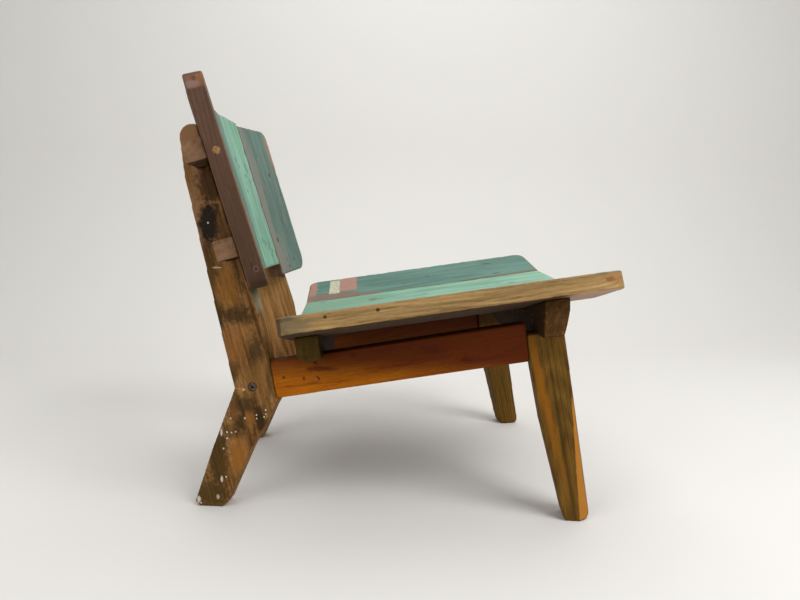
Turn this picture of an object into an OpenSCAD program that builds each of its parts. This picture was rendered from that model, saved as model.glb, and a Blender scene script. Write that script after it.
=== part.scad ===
// Lounge chair of reclaimed boat wood, without arms: four planks for the seat and four
// for the back, on beams carried by two splayed side frames.
// X points forward, Y to the sitter's left, Z up. The floor is Z = 0 and the origin is
// the middle of the chair's outline on the floor.

/* [Seat] */
// Height of the front end of the outer seat edges
seat_front_h = 413.7; // [380:0.1:440]
// Distance from the working datum to the front end of the seat
seat_front_x = 362; // [345:0.5:380]
// Slope of the seat, lower at the back
seat_pitch = 7.7; // [5:0.1:9]
// Length of the seat planks
seat_len = 518; // [508:0.5:532]
// Width over the upper edges of the four seat planks
seat_w = 624; // [612:0.5:640]
// Width of each outer seat plank
seat_outer_w = 152; // [130:0.5:170]
// Thickness of the seat planks
seat_t = 28; // [24:0.5:32]
// Rise of the outer seat planks
seat_outer_tilt = 12.5; // [9:0.5:14]
// Rise of the inner seat planks
seat_inner_tilt = 4.5; // [0:0.5:6]
// Corner radius of the seat panel
seat_corner_r = 25; // [5:1:40]

/* [Back] */
// Height of the top end of the outer back edges
back_top_h = 705.5; // [692:0.5:720]
// Distance from the working datum back to the top end of the back planks
back_top_x = 259.5; // [254:0.1:266]
// Recline of the back planks
back_recline = 16; // [14.5:0.1:17]
// Length of the outer back planks
back_len = 331.5; // [320:0.5:345]
// Amount by which the inner back planks are shorter at the bottom
back_inner_short = 24; // [0:1:30]
// Rise of the right outer back plank over the middle ones, and drop of the left one
back_top_step = 6.5; // [0:0.5:10]
// Width over the front edges of the four back planks
back_w = 516; // [506:1:530]
// Width of each outer back plank
back_outer_w = 147; // [135:0.5:155]
// Thickness of the back planks
back_t = 29.5; // [26:0.5:32]
// Rise of the outer back planks
back_outer_tilt = 13.2; // [11:0.1:15.5]
// Rise of the inner back planks
back_inner_tilt = 4.6; // [0:0.1:6]
// Corner radius at the top of the back panel
back_top_r = 22; // [5:1:40]
// Corner radius at the bottom of the back panel
back_bottom_r = 32; // [10:1:60]

/* [Planks] */
// Open seam between neighbouring planks
plank_gap = 1; // [0.5:0.1:3]
// Width of the eased edges along the planks
plank_ease = 2; // [0.5:0.1:4]

/* [Side frames] */
// Turn of each side frame, which makes the chair wider at the front
splay = 8; // [6:0.5:9]
// Distance from the middle to the outer face of a side frame at the working datum
frame_half = 229; // [222:0.1:236]
// Thickness of the rear legs
rear_leg_t = 36; // [30:0.5:40]
// Thickness of the front legs
front_leg_t = 42; // [36:0.5:46]
// Thickness of the aprons
apron_t = 33; // [26:0.5:34]
// Amount by which the aprons stand back from the outer faces of the legs
apron_inset = 1.5; // [0:0.1:3]
// Height of the aprons
apron_h = 62.8; // [56:0.1:70]
// Slope of the aprons
apron_pitch = 9.6; // [8:0.1:11]
// Extra height of the left apron at its front end
left_apron_extra = 28; // [0:1:32]
// Place behind the working datum where that extra height begins
left_apron_start = 160; // [120:5:165]
// Height of the lower edge of the aprons at the working datum
apron_z = 222.2; // [216:0.1:230]

/* [Front legs] */
// Distance from the working datum to the back of the front feet
front_foot_x = 301.8; // [294:0.1:309]
// Length of the front feet along the frame
front_foot_w = 43.8; // [36:0.5:54]
// Height at which the back edge of the front legs bends again under the apron
front_neck_h = 256; // [245:1:260]
// Distance from the working datum to that bend
front_neck_x = 243.5; // [240:0.5:247]
// Lean of the back edge of the front legs above that bend
front_back_lean = 7.3; // [6:0.1:9]
// Height at which the back edge of the front legs bends
front_waist_h = 160; // [130:1:180]
// Distance from the working datum to that bend
front_waist_x = 262.5; // [258:0.5:268]
// Lean of the front edge of the front legs
front_edge_lean = 9.4; // [8:0.1:11]
// Width of the long facet on the outer front corner at the foot
leg_facet = 16; // [6:0.5:20]
// Depth of that facet in the front face at the foot
leg_facet_deep = 10; // [4:0.5:14]
// Height at which that facet runs out
leg_facet_h = 235; // [150:5:260]

/* [Rear legs] */
// Distance from the working datum back to the back of the rear feet
rear_foot_x = 320; // [312:0.5:328]
// Length of the rear feet along the frame
rear_foot_w = 57.8; // [50:0.5:66]
// Distance from the working datum back to the back of the knee
knee_x = 244.2; // [240:0.1:249]
// Height at which the back edge bends
knee_h = 207.8; // [199:0.1:216]
// Depth of the knee
knee_w = 76.7; // [72:0.1:84]
// Hollow of the rear legs' edges below the knee
shin_bow = 3.5; // [0:0.5:8]
// Step under the rear ends of the aprons
knee_step = 6; // [3:0.5:10]
// Lean of the front edge behind the aprons
apron_edge_lean = 9; // [7:0.1:11]
// Height at which the front edge bends into the upright
bend_h = 308; // [290:0.5:325]
// Lean of the back edge of the upright
upright_lean = 11.6; // [11:0.1:12.5]
// Lean of the front edge of the upright
upright_front_lean = 16.6; // [16:0.1:17.2]
// Height at which the back edge of the upright bends towards its top
upright_head_h = 559.5; // [545:0.5:570]
// Lean of the back edge above that bend
upright_head_lean = 5.5; // [4:0.5:8]
// Height of the uprights
upright_h = 641.7; // [630:0.1:660]
// Radius at the back of the uprights' tops
upright_top_r = 20; // [5:1:26]
// Bevel at the ends of all four feet
foot_bevel = 8; // [3:0.5:11]

/* [Beams] */
// Distance from the front ends of the planks to the top of the front seat beam
front_beam_x = 74; // [60:0.5:90]
// Width of the front seat beam at the top
front_beam_w = 40; // [34:0.5:46]
// Depth of the front seat beam below the outer seat edges
front_beam_drop = 89; // [82:0.5:95]
// Set back of the front face at the bottom of the front seat beam
front_beam_tuck = 15; // [6:0.5:20]
// Half length of the front seat beam
front_beam_half = 292; // [275:0.5:296]
// Distance from the rear ends of the planks to the rear seat beam
rear_beam_inset = 11; // [2:0.5:20]
// Width of the rear seat beam
rear_beam_w = 39; // [34:0.5:46]
// Depth of the rear seat beam below the outer seat edges
rear_beam_drop = 85; // [84:0.5:92]
// Half length of the rear seat beam
rear_beam_half = 250; // [240:0.5:262]
// Bevel along the lower rear edge of the rear seat beam
rear_beam_bevel = 10; // [2:0.5:14]
// Bow of the seat beams' undersides in the middle
seat_beam_bow = 28; // [10:0.5:40]
// Half width of that bow in the rear seat beam
rear_bow_half = 168; // [150:1:172]
// Half width of that bow in the front seat beam
front_bow_half = 225; // [205:1:228]
// Distance of the upper back beam below the top of the planks
upper_beam_drop = 85.5; // [78:0.5:95]
// Distance of the lower back beam below the top of the planks
lower_beam_drop = 242.5; // [236:0.5:250]
// Height of the upper back beam
upper_beam_h = 35; // [28:0.5:40]
// Height of the lower back beam
lower_beam_h = 33; // [28:0.5:40]
// Depth of the back beams behind the planks' front edges
back_beam_drop = 68.5; // [66:0.5:72]
// Bow of the back beams' rear faces in the middle
back_beam_bow = 36; // [32:0.5:40]
// Half width of that bow
back_bow_half = 178; // [172:1:184]
// Half length of the back beams
back_beam_half = 245; // [236:0.5:250]
// Corner radius of the upper back beam's ends
beam_round = 14; // [2:1:16]

/* [Joints] */
// Clearance between wood and wood in every joint
fit = 0.2; // [0.1:0.05:0.3]
// Thickness of the aprons' tenons
tenon_t = 11; // [8:0.5:12]
// Height of the rear tenons
rear_tenon_h = 40; // [30:1:46]
// Height of the front tenons
front_tenon_h = 16; // [12:0.5:18]
// Length of the rear tenons
rear_tenon = 56; // [52:1:60]
// Length of the front tenons
front_tenon = 26; // [18:1:30]
// Diameter of the pegs between beams and frames
peg_d = 9; // [7:0.5:10]
// Length of those pegs inside the frames
peg_frame = 10; // [7:0.5:10]
// Length of those pegs inside the beams
peg_beam = 14; // [10:1:18]
// Length of the upright's pegs inside the back beams
peg_back = 10; // [8:0.5:11]
// Diameter of the dowels between the planks
dowel_d = 9; // [7:0.5:10]
// Length of the dowels between the planks
dowel_len = 44; // [30:1:56]
// Diameter of the wood screws
screw_d = 4.5; // [4:0.1:5]
// Diameter of the wood screws' heads
screw_head_d = 8.6; // [8:0.1:9.2]
// Height of the wood screws' heads
screw_head_h = 2.6; // [2:0.1:3.2]
// Length of the wood screws under the head
screw_len = 40; // [36:0.5:42]
// Length of a screw that is inside a plank
screw_bite = 20; // [16:0.5:22]
// Diameter of the knee bolts
bolt_d = 8; // [6:0.5:9]
// Diameter of the knee bolts' heads
bolt_head_d = 12.4; // [11:0.1:13]
// Height of the knee bolts' heads
bolt_head_h = 6; // [5:0.5:7]
// Length of the knee bolts under the head, which end inside the legs
bolt_len = 20; // [17:0.5:22]
// Diameter of the knee washers
washer_d = 13.6; // [13.2:0.1:13.8]
// Thickness of the knee washers
washer_t = 1.6; // [1.2:0.1:2]
// Diameter of the bolts' counterbores
bolt_bore_d = 14; // [13.9:0.1:16]
// Depth of the bolts' counterbores
bolt_sink = 10; // [8:0.5:10.5]
// Distance of the seat planks' dowels from their front ends
seat_dowel_front = 40; // [25:1:60]
// Distance of the seat planks' dowels from their rear ends
seat_dowel_rear = 80; // [65:1:110]
// Distance of the back planks' dowels from their top ends
back_dowel_top = 45; // [30:1:60]
// Distance of the lower dowels from the bottom of the back planks
back_dowel_low = 149; // [140:1:160]
// Diameter of the plugs in the back planks' edges
plug_d = 14; // [10:0.5:16]
// Length of the edge plugs
plug_len = 12; // [8:0.5:14]
// Distance of the edge plugs from the top ends of the back planks
plug_from_top = 115.5; // [100:0.5:130]
// Distance of the first edge nails from the rear ends of the seat planks
nail_from_rear = 71; // [55:1:85]
// Distance between the two edge nails of a plank
nail_step = 78; // [60:1:95]
// Depth of the nails below the seat planks' faces
nail_z = 9; // [7:0.5:14]
// Diameter of the nails in the seat's edges
nail_d = 4; // [3:0.5:5]
// Length of the nails in the seat's edges
nail_len = 40; // [30:1:50]

/* [Hidden] */
$fn = 40;

// Reach of the cutting shapes, and the overlap that keeps a cut open
big = 900;
over = 5;
// Number of sides of the long flat arcs
arc_fn = 240;

// Colours
TEAL = "#5f8578";
DARK_TEAL = "#5b7f74";
MINT = "#86b9a0";
TAN = "#a9824f";
STAIN = "#5a3420";
ORANGE = "#a65a1c";
BROWN = "#8a6030";
OLIVE = "#6b5126";
DARK = "#5a4022";
PALE = "#c9a15c";
STEEL = "#9a9a98";
RUST = "#5e3a28";

// Each panel as its half width, the width and rise of its outer planks, the rise of its
// inner planks and its thickness
seat = [seat_w / 2, seat_outer_w, seat_outer_tilt, seat_inner_tilt, seat_t];
back = [back_w / 2, back_outer_w, back_outer_tilt, back_inner_tilt, back_t];

// Where the inner and outer planks meet, on their faces
function seam(p) = [p[0] - p[1] * cos(p[2]), -p[1] * sin(p[2])];
// Level of the two inner planks' faces in the middle
function middle(p) = seam(p).y - seam(p).x * tan(p[3]);
// A point one thickness below a plank's face
function below(p, point, tilt) = point + p[4] * [sin(tilt), -cos(tilt)];
// Level of the outer planks' undersides at a distance y from the middle
function under(p, y) = below(p, seam(p), p[2]).y + (y - below(p, seam(p), p[2]).x) * tan(p[2]);
// Points of the planks' undersides from the middle outwards
function under_line(p, end) = [[0, middle(p) - p[4] / cos(p[3]) - fit],
    below(p, seam(p), p[3]) - [0, fit], below(p, seam(p), p[2]) - [0, fit], [end, under(p, end) - fit]];
function mirrored(list) = [for (i = [len(list) - 1 : -1 : 1]) [-list[i].x, list[i].y]];

// The chair's reach to the front and back, which fixes the origin
seat_lowest = middle(seat) - seat_t * cos(seat_inner_tilt)
    + (plank_gap / 2 + plank_ease) * sin(seat_inner_tilt);
front_reach = seat_front_x - seat_lowest * sin(seat_pitch);
rear_reach = back_top_x - upper_beam_drop * sin(back_recline)
    + (back_beam_drop + back_beam_bow) * cos(back_recline);
mid_x = (front_reach - rear_reach) / 2;

// Corners of the side frames, along the frame and upwards
front_toe = front_foot_x + front_foot_w;
front_waist = [front_waist_x, front_waist_h];
front_neck = [front_neck_x, front_neck_h];
leg_blank_h = bend_h + 20;
knee_back = [-knee_x, knee_h];
knee_front = [knee_w - knee_x, knee_h - knee_step * 2.5];
shoulder = knee_front + [-knee_step, knee_step / 3];
bend = [shoulder.x - (bend_h - shoulder.y) * tan(apron_edge_lean), bend_h];
upright_front = [bend.x - (upright_h - bend_h) * tan(upright_front_lean), upright_h];
upright_head = [-knee_x - (upright_head_h - knee_h) * tan(upright_lean), upright_head_h];
upright_back = upright_head + (upright_h - upright_head_h) * [-tan(upright_head_lean), 1];
rear_heel = rear_foot_w - rear_foot_x;
shin_h = knee_h / 2;
bolt_at = [-knee_x + 31, knee_h + 4];

// Along the panels, from their front or top ends
front_peg_x = -front_beam_x - front_beam_w + 5;
front_screw_x = -front_beam_x - front_beam_w / 2 - 4;
rear_beam_back = rear_beam_inset - seat_len;
rear_screw_x = rear_beam_back + rear_beam_w - 12;
rear_peg_x = rear_beam_back + 15;
upper_screw_x = -upper_beam_drop - upper_beam_h / 2;
lower_screw_x = -lower_beam_drop - lower_beam_h / 2;
seat_dowel_x = [-seat_dowel_front, -seat_len / 2, seat_dowel_rear - seat_len];
back_dowel_x = [-back_dowel_top, back_dowel_low - back_len];
nail_x = [nail_from_rear - seat_len, nail_from_rear + nail_step - seat_len];
// Lengths of the apron before its ends are cut, behind and over the working datum
apron_rear = seat_len / 2;
apron_full = apron_rear + front_foot_x;

// Distances of the screws from the inner edge of each plank
seat_inner_screws = [30, 130];
front_outer_screws = [20, 84];
rear_outer_screws = [10, 67];
back_inner_screws = [24, 86];
back_outer_screws = [12, 112];

// Moves a shape from the working datum to the chair's own origin
module placed() translate([-mid_x, 0, 0]) children();

// The panels: X runs along the planks and is 0 at their front or top ends, Z is 0 at the
// outer edges of the faces and points out of them
module on_seat() placed() translate([seat_front_x, 0, seat_front_h]) rotate([0, -seat_pitch, 0]) children();
module on_back() placed() translate([-back_top_x, 0, back_top_h]) rotate([180, -90 - back_recline, 0]) children();

// A side frame: X runs forward, Z up, and Y is 0 on the outer face and negative inside
module on_left() placed() translate([0, frame_half, 0]) rotate([0, 0, splay]) children();
module on_right() mirror([0, 1, 0]) on_left() children();

// Extrusions along X, and from an outer face inwards
module along_x(from, to) translate([from, 0, 0]) rotate([90, 0, 90]) linear_extrude(to - from) children();
module board(outer, t) translate([0, outer, 0]) rotate([90, 0, 0]) linear_extrude(t) children();
module along_y(half) board(half, 2 * half) children();

// A bar of one diameter between two heights
module pin(d, from, to) translate([0, 0, from]) cylinder(d = d, h = to - from);
module flipped(side) mirror([0, side < 0 ? 1 : 0, 0]) children();

// Rectangle with four eased corners
module eased(w, h, c) polygon([[c, 0], [w - c, 0], [w, c], [w, h - c], [w - c, h], [c, h], [0, h - c], [0, c]]);

// What a quarter circle leaves of the square outside it
module corner_waste(r) difference() {
    square(r + 2 * over);
    circle(r, $fn = 96);
}

// All of a plane on the left or on the right of a leaning line through a point
module left_of(point, lean) translate(point) rotate(lean) translate([-big, -big / 2]) square(big);
module right_of(point, lean) translate(point) rotate(lean) translate([0, -big / 2]) square(big);

// Coordinate systems of the single planks in a panel: Y runs from the plank's inner edge
// to its outer edge and Z is 0 on its face
module on_inner(p, side) flipped(side) translate([0, 0, middle(p)]) rotate([p[3], 0, 0]) children();
module on_outer(p, side) flipped(side) translate([0, seam(p).x, seam(p).y]) rotate([p[2], 0, 0]) children();
function inner_w(p) = seam(p).x / cos(p[3]);

module inner_blank(p, len) along_x(-len, 0) translate([plank_gap / 2, -p[4]])
    eased(inner_w(p) - plank_gap, p[4], plank_ease);
module outer_blank(p, len) along_x(-len, 0) translate([plank_gap / 2, -p[4]])
    eased(p[1] - plank_gap / 2, p[4], plank_ease);

// Screws that hold the planks from behind, each with its point at Z = 0 and its head below
module screw() difference() {
    union() {
        pin(screw_d, -screw_len, -3);
        translate([0, 0, -3]) cylinder(d1 = screw_d, d2 = 0.6, h = 3);
        pin(screw_head_d, -screw_len - screw_head_h, -screw_len);
    }
    for (turn = [0, 90])
        rotate([0, 0, turn]) translate([-2, -0.5, -screw_len - screw_head_h - 1]) cube([4, 1, 2.4]);
}

module screw_bore() {
    pin(screw_d + 2 * fit, -screw_len - 1, 0.5);
    pin(screw_head_d + 2 * fit + 0.4, -screw_len - 90, -screw_len);
}

// Places the screws of one beam in a panel
module at_screws(p, x, inner, outer) for (side = [-1, 1]) {
    for (y = inner) on_inner(p, side) translate([x, y, screw_bite - p[4]]) children();
    for (y = outer) on_outer(p, side) translate([x, y, screw_bite - p[4]]) children();
}

module at_seat_screws() {
    at_screws(seat, front_screw_x, seat_inner_screws, front_outer_screws) children();
    at_screws(seat, rear_screw_x, seat_inner_screws, rear_outer_screws) children();
}
module at_back_screws() for (x = [upper_screw_x, lower_screw_x])
    at_screws(back, x, back_inner_screws, back_outer_screws) children();

// Places the dowels across the three seams of a panel, with their axes along Z
module at_dowels(p, list) for (x = list) {
    translate([x, 0, middle(p) - p[4] / 2]) rotate([90, 0, 0]) children();
    for (side = [-1, 1]) flipped(side) translate([x, seam(p).x, seam(p).y])
        rotate([(p[2] + p[3]) / 2, 0, 0]) translate([0, 0, -p[4] / 2]) rotate([90, 0, 0]) children();
}

module dowel(d, len) pin(d, -len / 2, len / 2);

// Places the plugs and nails in the outer edges, with their axes pointing out along Z
module at_edge(p, list, deep) for (side = [-1, 1], x = list)
    on_outer(p, side) translate([x, p[1], -deep]) rotate([-90, 0, 0]) children();
module at_plugs() at_edge(back, [-plug_from_top], back_t / 2) children();

// Places the pegs between the beams and the frames; Z = 0 is the joint
module at_front_pegs() for (side = [-1, 1], y = [-front_peg_step, front_peg_step])
    on_seat() translate([front_peg_x, side * (front_leg_y + y), -front_beam_drop]) children();
module at_rear_pegs() for (side = [-1, 1])
    on_seat() translate([rear_peg_x, side * apron_y, -rear_beam_drop + beam_notch]) children();
module at_back_pegs() for (side = [-1, 1], at = [[upper_screw_x, upper_y], [lower_screw_x, lower_y]])
    on_back() translate([at.x, side * at.y, -back_beam_drop]) children();

// Distance from the working datum back to the front of a back beam, at a height x on the planks
function back_joint_x(x) = back_top_x + x * sin(back_recline) + back_beam_drop * cos(back_recline);
// Distances of the frames' middles from the chair's middle at the beams
front_leg_y = frame_half + (seat_front_x + front_peg_x) * tan(splay) - front_leg_t / 2 / cos(splay);
apron_mid = apron_inset + apron_t / 2;
apron_y = frame_half + (seat_front_x + rear_peg_x) * tan(splay) - apron_mid / cos(splay);
upper_y = frame_half - back_joint_x(upper_screw_x) * tan(splay) - rear_leg_t / 2 / cos(splay);
lower_y = frame_half - back_joint_x(lower_screw_x) * tan(splay) - rear_leg_t / 2 / cos(splay);

// Depth of the notches in the rear seat beam over the aprons
beam_notch = 7;
// Length of the bevels at the rear seat beam's ends, outside the aprons
rear_end_bevel = 18;
// Distance of the front beam's pegs from the middle of each front leg
front_peg_step = 10;
// Size of the cut that makes the front legs' facets
facet_cut = 60;
// Two points on the curve of the front beam's face: share of its set back, and depth
front_curve = [[0.15, 54], [0.55, 74]];
// How much further back the lower rear edge of the front beam lies than its upper one
front_beam_spread = 9;

module seat_panel_cuts() {
    at_seat_screws() screw_bore();
    at_dowels(seat, seat_dowel_x) dowel(dowel_d + 2 * fit, dowel_len + 2);
    at_edge(seat, nail_x, nail_z) pin(nail_d + 2 * fit, -nail_len - 3, over);
}

// Waste at the two outer corners of an outer plank, each with its own radius
module plank_corners(p, len, r_end, r_start) translate([0, p[1], -p[4] - over]) linear_extrude(p[4] + 2 * over) {
    translate([-r_end, -r_end]) corner_waste(r_end);
    translate([r_start - len, -r_start]) mirror([1, 0]) corner_waste(r_start);
}

module seat_inner(side) on_seat() difference() {
    on_inner(seat, side) inner_blank(seat, seat_len);
    seat_panel_cuts();
}

module seat_outer(side) on_seat() difference() {
    on_outer(seat, side) outer_blank(seat, seat_len);
    on_outer(seat, side) plank_corners(seat, seat_len, seat_corner_r, seat_corner_r);
    seat_panel_cuts();
}

module back_panel_cuts() {
    at_back_screws() screw_bore();
    at_dowels(back, back_dowel_x) dowel(dowel_d + 2 * fit, dowel_len + 2);
    at_plugs() pin(plug_d + 2 * fit, -plug_len - 0.5, over);
}

module back_inner(side) on_back() difference() {
    on_inner(back, side) inner_blank(back, back_len - back_inner_short);
    back_panel_cuts();
}

module back_outer(side) on_back() difference() {
    on_outer(back, side) translate([side * back_top_step, 0, 0]) difference() {
        outer_blank(back, back_len + side * back_top_step);
        plank_corners(back, back_len + side * back_top_step, back_top_r, back_bottom_r);
    }
    back_panel_cuts();
}

// Face of a beam: its top follows the planks, its underside is level and bowed in the middle
module beam_face(p, end, drop, bow, half) {
    line = under_line(p, end + over);
    r = (half * half + bow * bow) / (2 * bow);
    difference() {
        union() {
            translate([-end, -drop]) square([2 * end, drop]);
            intersection() {
                translate([0, r - drop - bow]) circle(r, $fn = arc_fn);
                translate([-half, -drop - bow - 1]) square([2 * half, bow + 2]);
            }
        }
        polygon(concat(mirrored(line), line, [[end + over, over], [-end - over, over]]));
    }
}

// Cross section of the front seat beam, bulged in front and leaning back behind
module front_beam_section() {
    front = -front_beam_x;
    rear = front - front_beam_w;
    foot = -front_beam_drop - seat_beam_bow - 1;
    polygon([[rear, 0], [front, 0], [front, -seat_t - over],
        [front - front_beam_tuck * front_curve[0].x, -front_curve[0].y],
        [front - front_beam_tuck * front_curve[1].x, -front_curve[1].y],
        [front - front_beam_tuck, -front_beam_drop], [front - front_beam_tuck, foot],
        [rear - front_beam_spread, foot], [rear - front_beam_spread, -front_beam_drop],
        [rear, -seat_t - over]]);
}

module front_beam_blank() intersection() {
    along_x(-front_beam_x - front_beam_w - 2 * front_beam_spread, -front_beam_x)
        beam_face(seat, front_beam_half, front_beam_drop, seat_beam_bow, front_bow_half);
    along_y(front_beam_half) front_beam_section();
}

module rear_beam_blank() difference() {
    along_x(rear_beam_back, rear_beam_back + rear_beam_w)
        beam_face(seat, rear_beam_half, rear_beam_drop, seat_beam_bow, rear_bow_half);
    for (side = [-1, 1]) flipped(side)
        translate([rear_beam_back, rear_beam_half - rear_end_bevel, -rear_beam_drop]) rotate([0, 45, 0])
            translate([-rear_beam_bevel, 0, -rear_beam_bevel / sqrt(2)])
                cube([2 * rear_beam_bevel, big, rear_beam_bevel * sqrt(2)]);
}

// Space that an apron takes in the rear seat beam
module apron_notch() board(-apron_inset + fit, apron_t + 2 * fit) translate([0, apron_z + fit])
    rotate(apron_pitch) translate([-apron_rear, -apron_h]) square([apron_full, 2 * apron_h]);

module back_beam(drop, h) along_x(-drop - h, -drop)
    beam_face(back, back_beam_half, back_beam_drop, back_beam_bow, back_bow_half);

// Notch in which a back beam passes over an upright
module upright_notch() intersection() {
    on_left() board(fit, rear_leg_t + 2 * fit) translate([-big / 2, bend_h]) square([big / 2, upright_h]);
    on_back() mirror([0, 1, 0]) translate([-back_len, 0, -back_beam_drop - big / 2]) cube([back_len, big, big / 2]);
}

module back_beam_cuts() {
    on_back() at_back_screws() screw_bore();
    at_back_pegs() pin(peg_d + 2 * fit, -over, peg_back + 1);
    upright_notch();
    mirror([0, 1, 0]) upright_notch();
}

// Rounded corner at the two ends of the upper back beam, outside the uprights
module upper_rounding() for (side = [-1, 1]) flipped(side)
    translate([-upper_beam_drop - beam_round, back_beam_half + 1, beam_round - back_beam_drop])
        rotate([90, 0, 0]) linear_extrude(back_beam_half + 1 - upper_end_y) mirror([0, 1]) corner_waste(beam_round);
upper_end_y = upper_y + rear_leg_t / 2 + 6;

// Outlines of the legs and of the apron in the plane of a side frame
module front_leg_face() polygon([[front_foot_x + foot_bevel / 2, 0], [front_toe - foot_bevel * 0.7, 0],
    [front_toe, foot_bevel], [front_toe - leg_blank_h * tan(front_edge_lean), leg_blank_h + foot_bevel],
    front_neck + (leg_blank_h - front_neck_h) * [-tan(front_back_lean), 1], front_neck, front_waist,
    [front_foot_x, foot_bevel]]);

module rear_leg_face() difference() {
    polygon([[-rear_foot_x + foot_bevel, 0], [rear_heel - foot_bevel, 0], [rear_heel, foot_bevel],
        [(rear_heel + knee_front.x) / 2 - shin_bow, shin_h], knee_front, shoulder, bend, upright_front,
        upright_back, upright_head, knee_back, [-(rear_foot_x + knee_x) / 2 - shin_bow, shin_h],
        [-rear_foot_x, foot_bevel]]);
    translate(upright_back + upright_top_r * [1 + tan(upright_head_lean), -1]) mirror([1, 0])
        corner_waste(upright_top_r);
}

module apron_face(extra) difference() {
    translate([0, apron_z]) rotate(apron_pitch) union() {
        translate([-apron_rear, 0]) square([apron_full, apron_h]);
        if (extra > 0) polygon([[-left_apron_start, over], [-left_apron_start, 0],
            [front_foot_x, -extra], [front_foot_x, over]]);
    }
    left_of(shoulder + [fit, 0], apron_edge_lean);
    right_of(front_neck - [fit, 0], front_back_lean);
}

// Tenons: the strip of the apron's height that runs on into each leg
module tenon_strip(low, high) translate([0, apron_z]) rotate(apron_pitch)
    translate([-apron_rear, low]) square([apron_full, high - low]);
module rear_tenon_face(gap) difference() {
    tenon_strip((apron_h - rear_tenon_h) / 2 - gap, (apron_h + rear_tenon_h) / 2 + gap);
    left_of(shoulder - [rear_tenon + gap * 2, 0], apron_edge_lean);
    right_of(shoulder + [1, 0], apron_edge_lean);
}
module front_tenon_face(gap) difference() {
    tenon_strip(6 - gap, 6 + front_tenon_h + gap);
    right_of(front_neck + [front_tenon + gap * 2, 0], front_back_lean);
    left_of(front_neck - [1, 0], front_back_lean);
}
module tenons(gap) board(-apron_mid + tenon_t / 2 + gap, tenon_t + 2 * gap) {
    rear_tenon_face(gap);
    front_tenon_face(gap);
}

// Axis of a knee bolt: Z runs inwards from the outer face of the leg
module at_bolt() translate([bolt_at.x, 0, bolt_at.y]) rotate([90, 0, 0]) children();
module at_knees() for (side = [-1, 1]) flipped(side) on_left() at_bolt() children();
bolt_seat = bolt_sink - washer_t;

module bolt_bore() pin(bolt_d + 2 * fit, 0, bolt_seat + bolt_len + 1);
module bolt_bores() {
    pin(bolt_bore_d, -over, bolt_sink);
    bolt_bore();
}

module front_leg() {
    slice = leg_facet_deep;
    lean = atan(((leg_facet_h * tan(front_edge_lean) - leg_facet) * slice / norm([leg_facet, slice])) / leg_facet_h);
    difference() {
        on_left() difference() {
            board(0, front_leg_t) front_leg_face();
            translate([front_toe - leg_facet, 0, 0]) rotate([0, -lean, atan2(leg_facet, slice)])
                translate([0, -facet_cut, -4 * over]) cube([facet_cut, 2 * facet_cut, big]);
            tenons(fit);
        }
        on_seat() translate([-big / 2, 0, -front_beam_drop - fit]) cube([big, big, big / 2]);
        at_front_pegs() pin(peg_d + 2 * fit, -peg_frame - 1, over);
    }
}

module apron(extra) difference() {
    on_left() union() {
        board(-apron_inset, apron_t) apron_face(extra);
        tenons(0);
    }
    on_left() at_bolt() bolt_bore();
    at_rear_pegs() pin(peg_d + 2 * fit, -peg_frame - 1, over * 3);
}

module back_beam_housing(drop, h) translate([-drop - h - fit, 0, -back_beam_drop - fit])
    cube([h + 2 * fit, big, big / 2]);

module rear_leg() difference() {
    on_left() difference() {
        board(0, rear_leg_t) rear_leg_face();
        tenons(fit);
        at_bolt() bolt_bores();
    }
    on_back() mirror([0, 1, 0]) {
        back_beam_housing(upper_beam_drop, upper_beam_h);
        back_beam_housing(lower_beam_drop, lower_beam_h);
        on_outer(back, 1) translate([-back_len - 1, 0, -back_t - fit]) cube([back_len + over, big / 2, big / 2]);
    }
    at_back_pegs() pin(peg_d + 2 * fit, -peg_frame - 1, over);
}

module seat_plank_right_outer() color(TAN) seat_outer(-1);
module seat_plank_right_inner() color(TEAL) seat_inner(-1);
module seat_plank_left_inner() color(MINT) seat_inner(1);
module seat_plank_left_outer() color(DARK_TEAL) seat_outer(1);
module back_plank_right_outer() color(STAIN) back_outer(1);
module back_plank_right_inner() color(TEAL) back_inner(1);
module back_plank_left_inner() color(MINT) back_inner(-1);
module back_plank_left_outer() color(DARK_TEAL) back_outer(-1);

module front_seat_beam() color(DARK) difference() {
    on_seat() front_beam_blank();
    on_seat() at_seat_screws() screw_bore();
    at_front_pegs() pin(peg_d + 2 * fit, -over, peg_beam + 1);
}

module rear_seat_beam() color(DARK) difference() {
    on_seat() rear_beam_blank();
    on_seat() at_seat_screws() screw_bore();
    at_rear_pegs() pin(peg_d + 2 * fit, -over, peg_beam + 1);
    on_left() apron_notch();
    on_right() apron_notch();
}

module upper_back_beam() color(OLIVE) difference() {
    on_back() back_beam(upper_beam_drop, upper_beam_h);
    on_back() upper_rounding();
    back_beam_cuts();
}

module lower_back_beam() color(OLIVE) difference() {
    on_back() back_beam(lower_beam_drop, lower_beam_h);
    back_beam_cuts();
}

module right_apron() color(ORANGE) mirror([0, 1, 0]) apron(0);
module left_apron() color(ORANGE) apron(left_apron_extra);
module right_front_leg() color(BROWN) mirror([0, 1, 0]) front_leg();
module left_front_leg() color(BROWN) front_leg();
module right_rear_leg() color(BROWN) mirror([0, 1, 0]) rear_leg();
module left_rear_leg() color(BROWN) rear_leg();

module knee_bolts() color(STEEL) at_knees() difference() {
    union() {
        pin(bolt_d, bolt_seat, bolt_seat + bolt_len);
        pin(bolt_head_d, bolt_seat - bolt_head_h, bolt_seat);
    }
    translate([0, 0, bolt_seat - bolt_head_h - 1]) cylinder(d = bolt_d * 0.86, h = bolt_head_h * 0.6 + 1, $fn = 6);
}

module knee_washers() color(STEEL) at_knees() difference() {
    pin(washer_d, bolt_seat, bolt_sink);
    bolt_bore();
}

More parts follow.
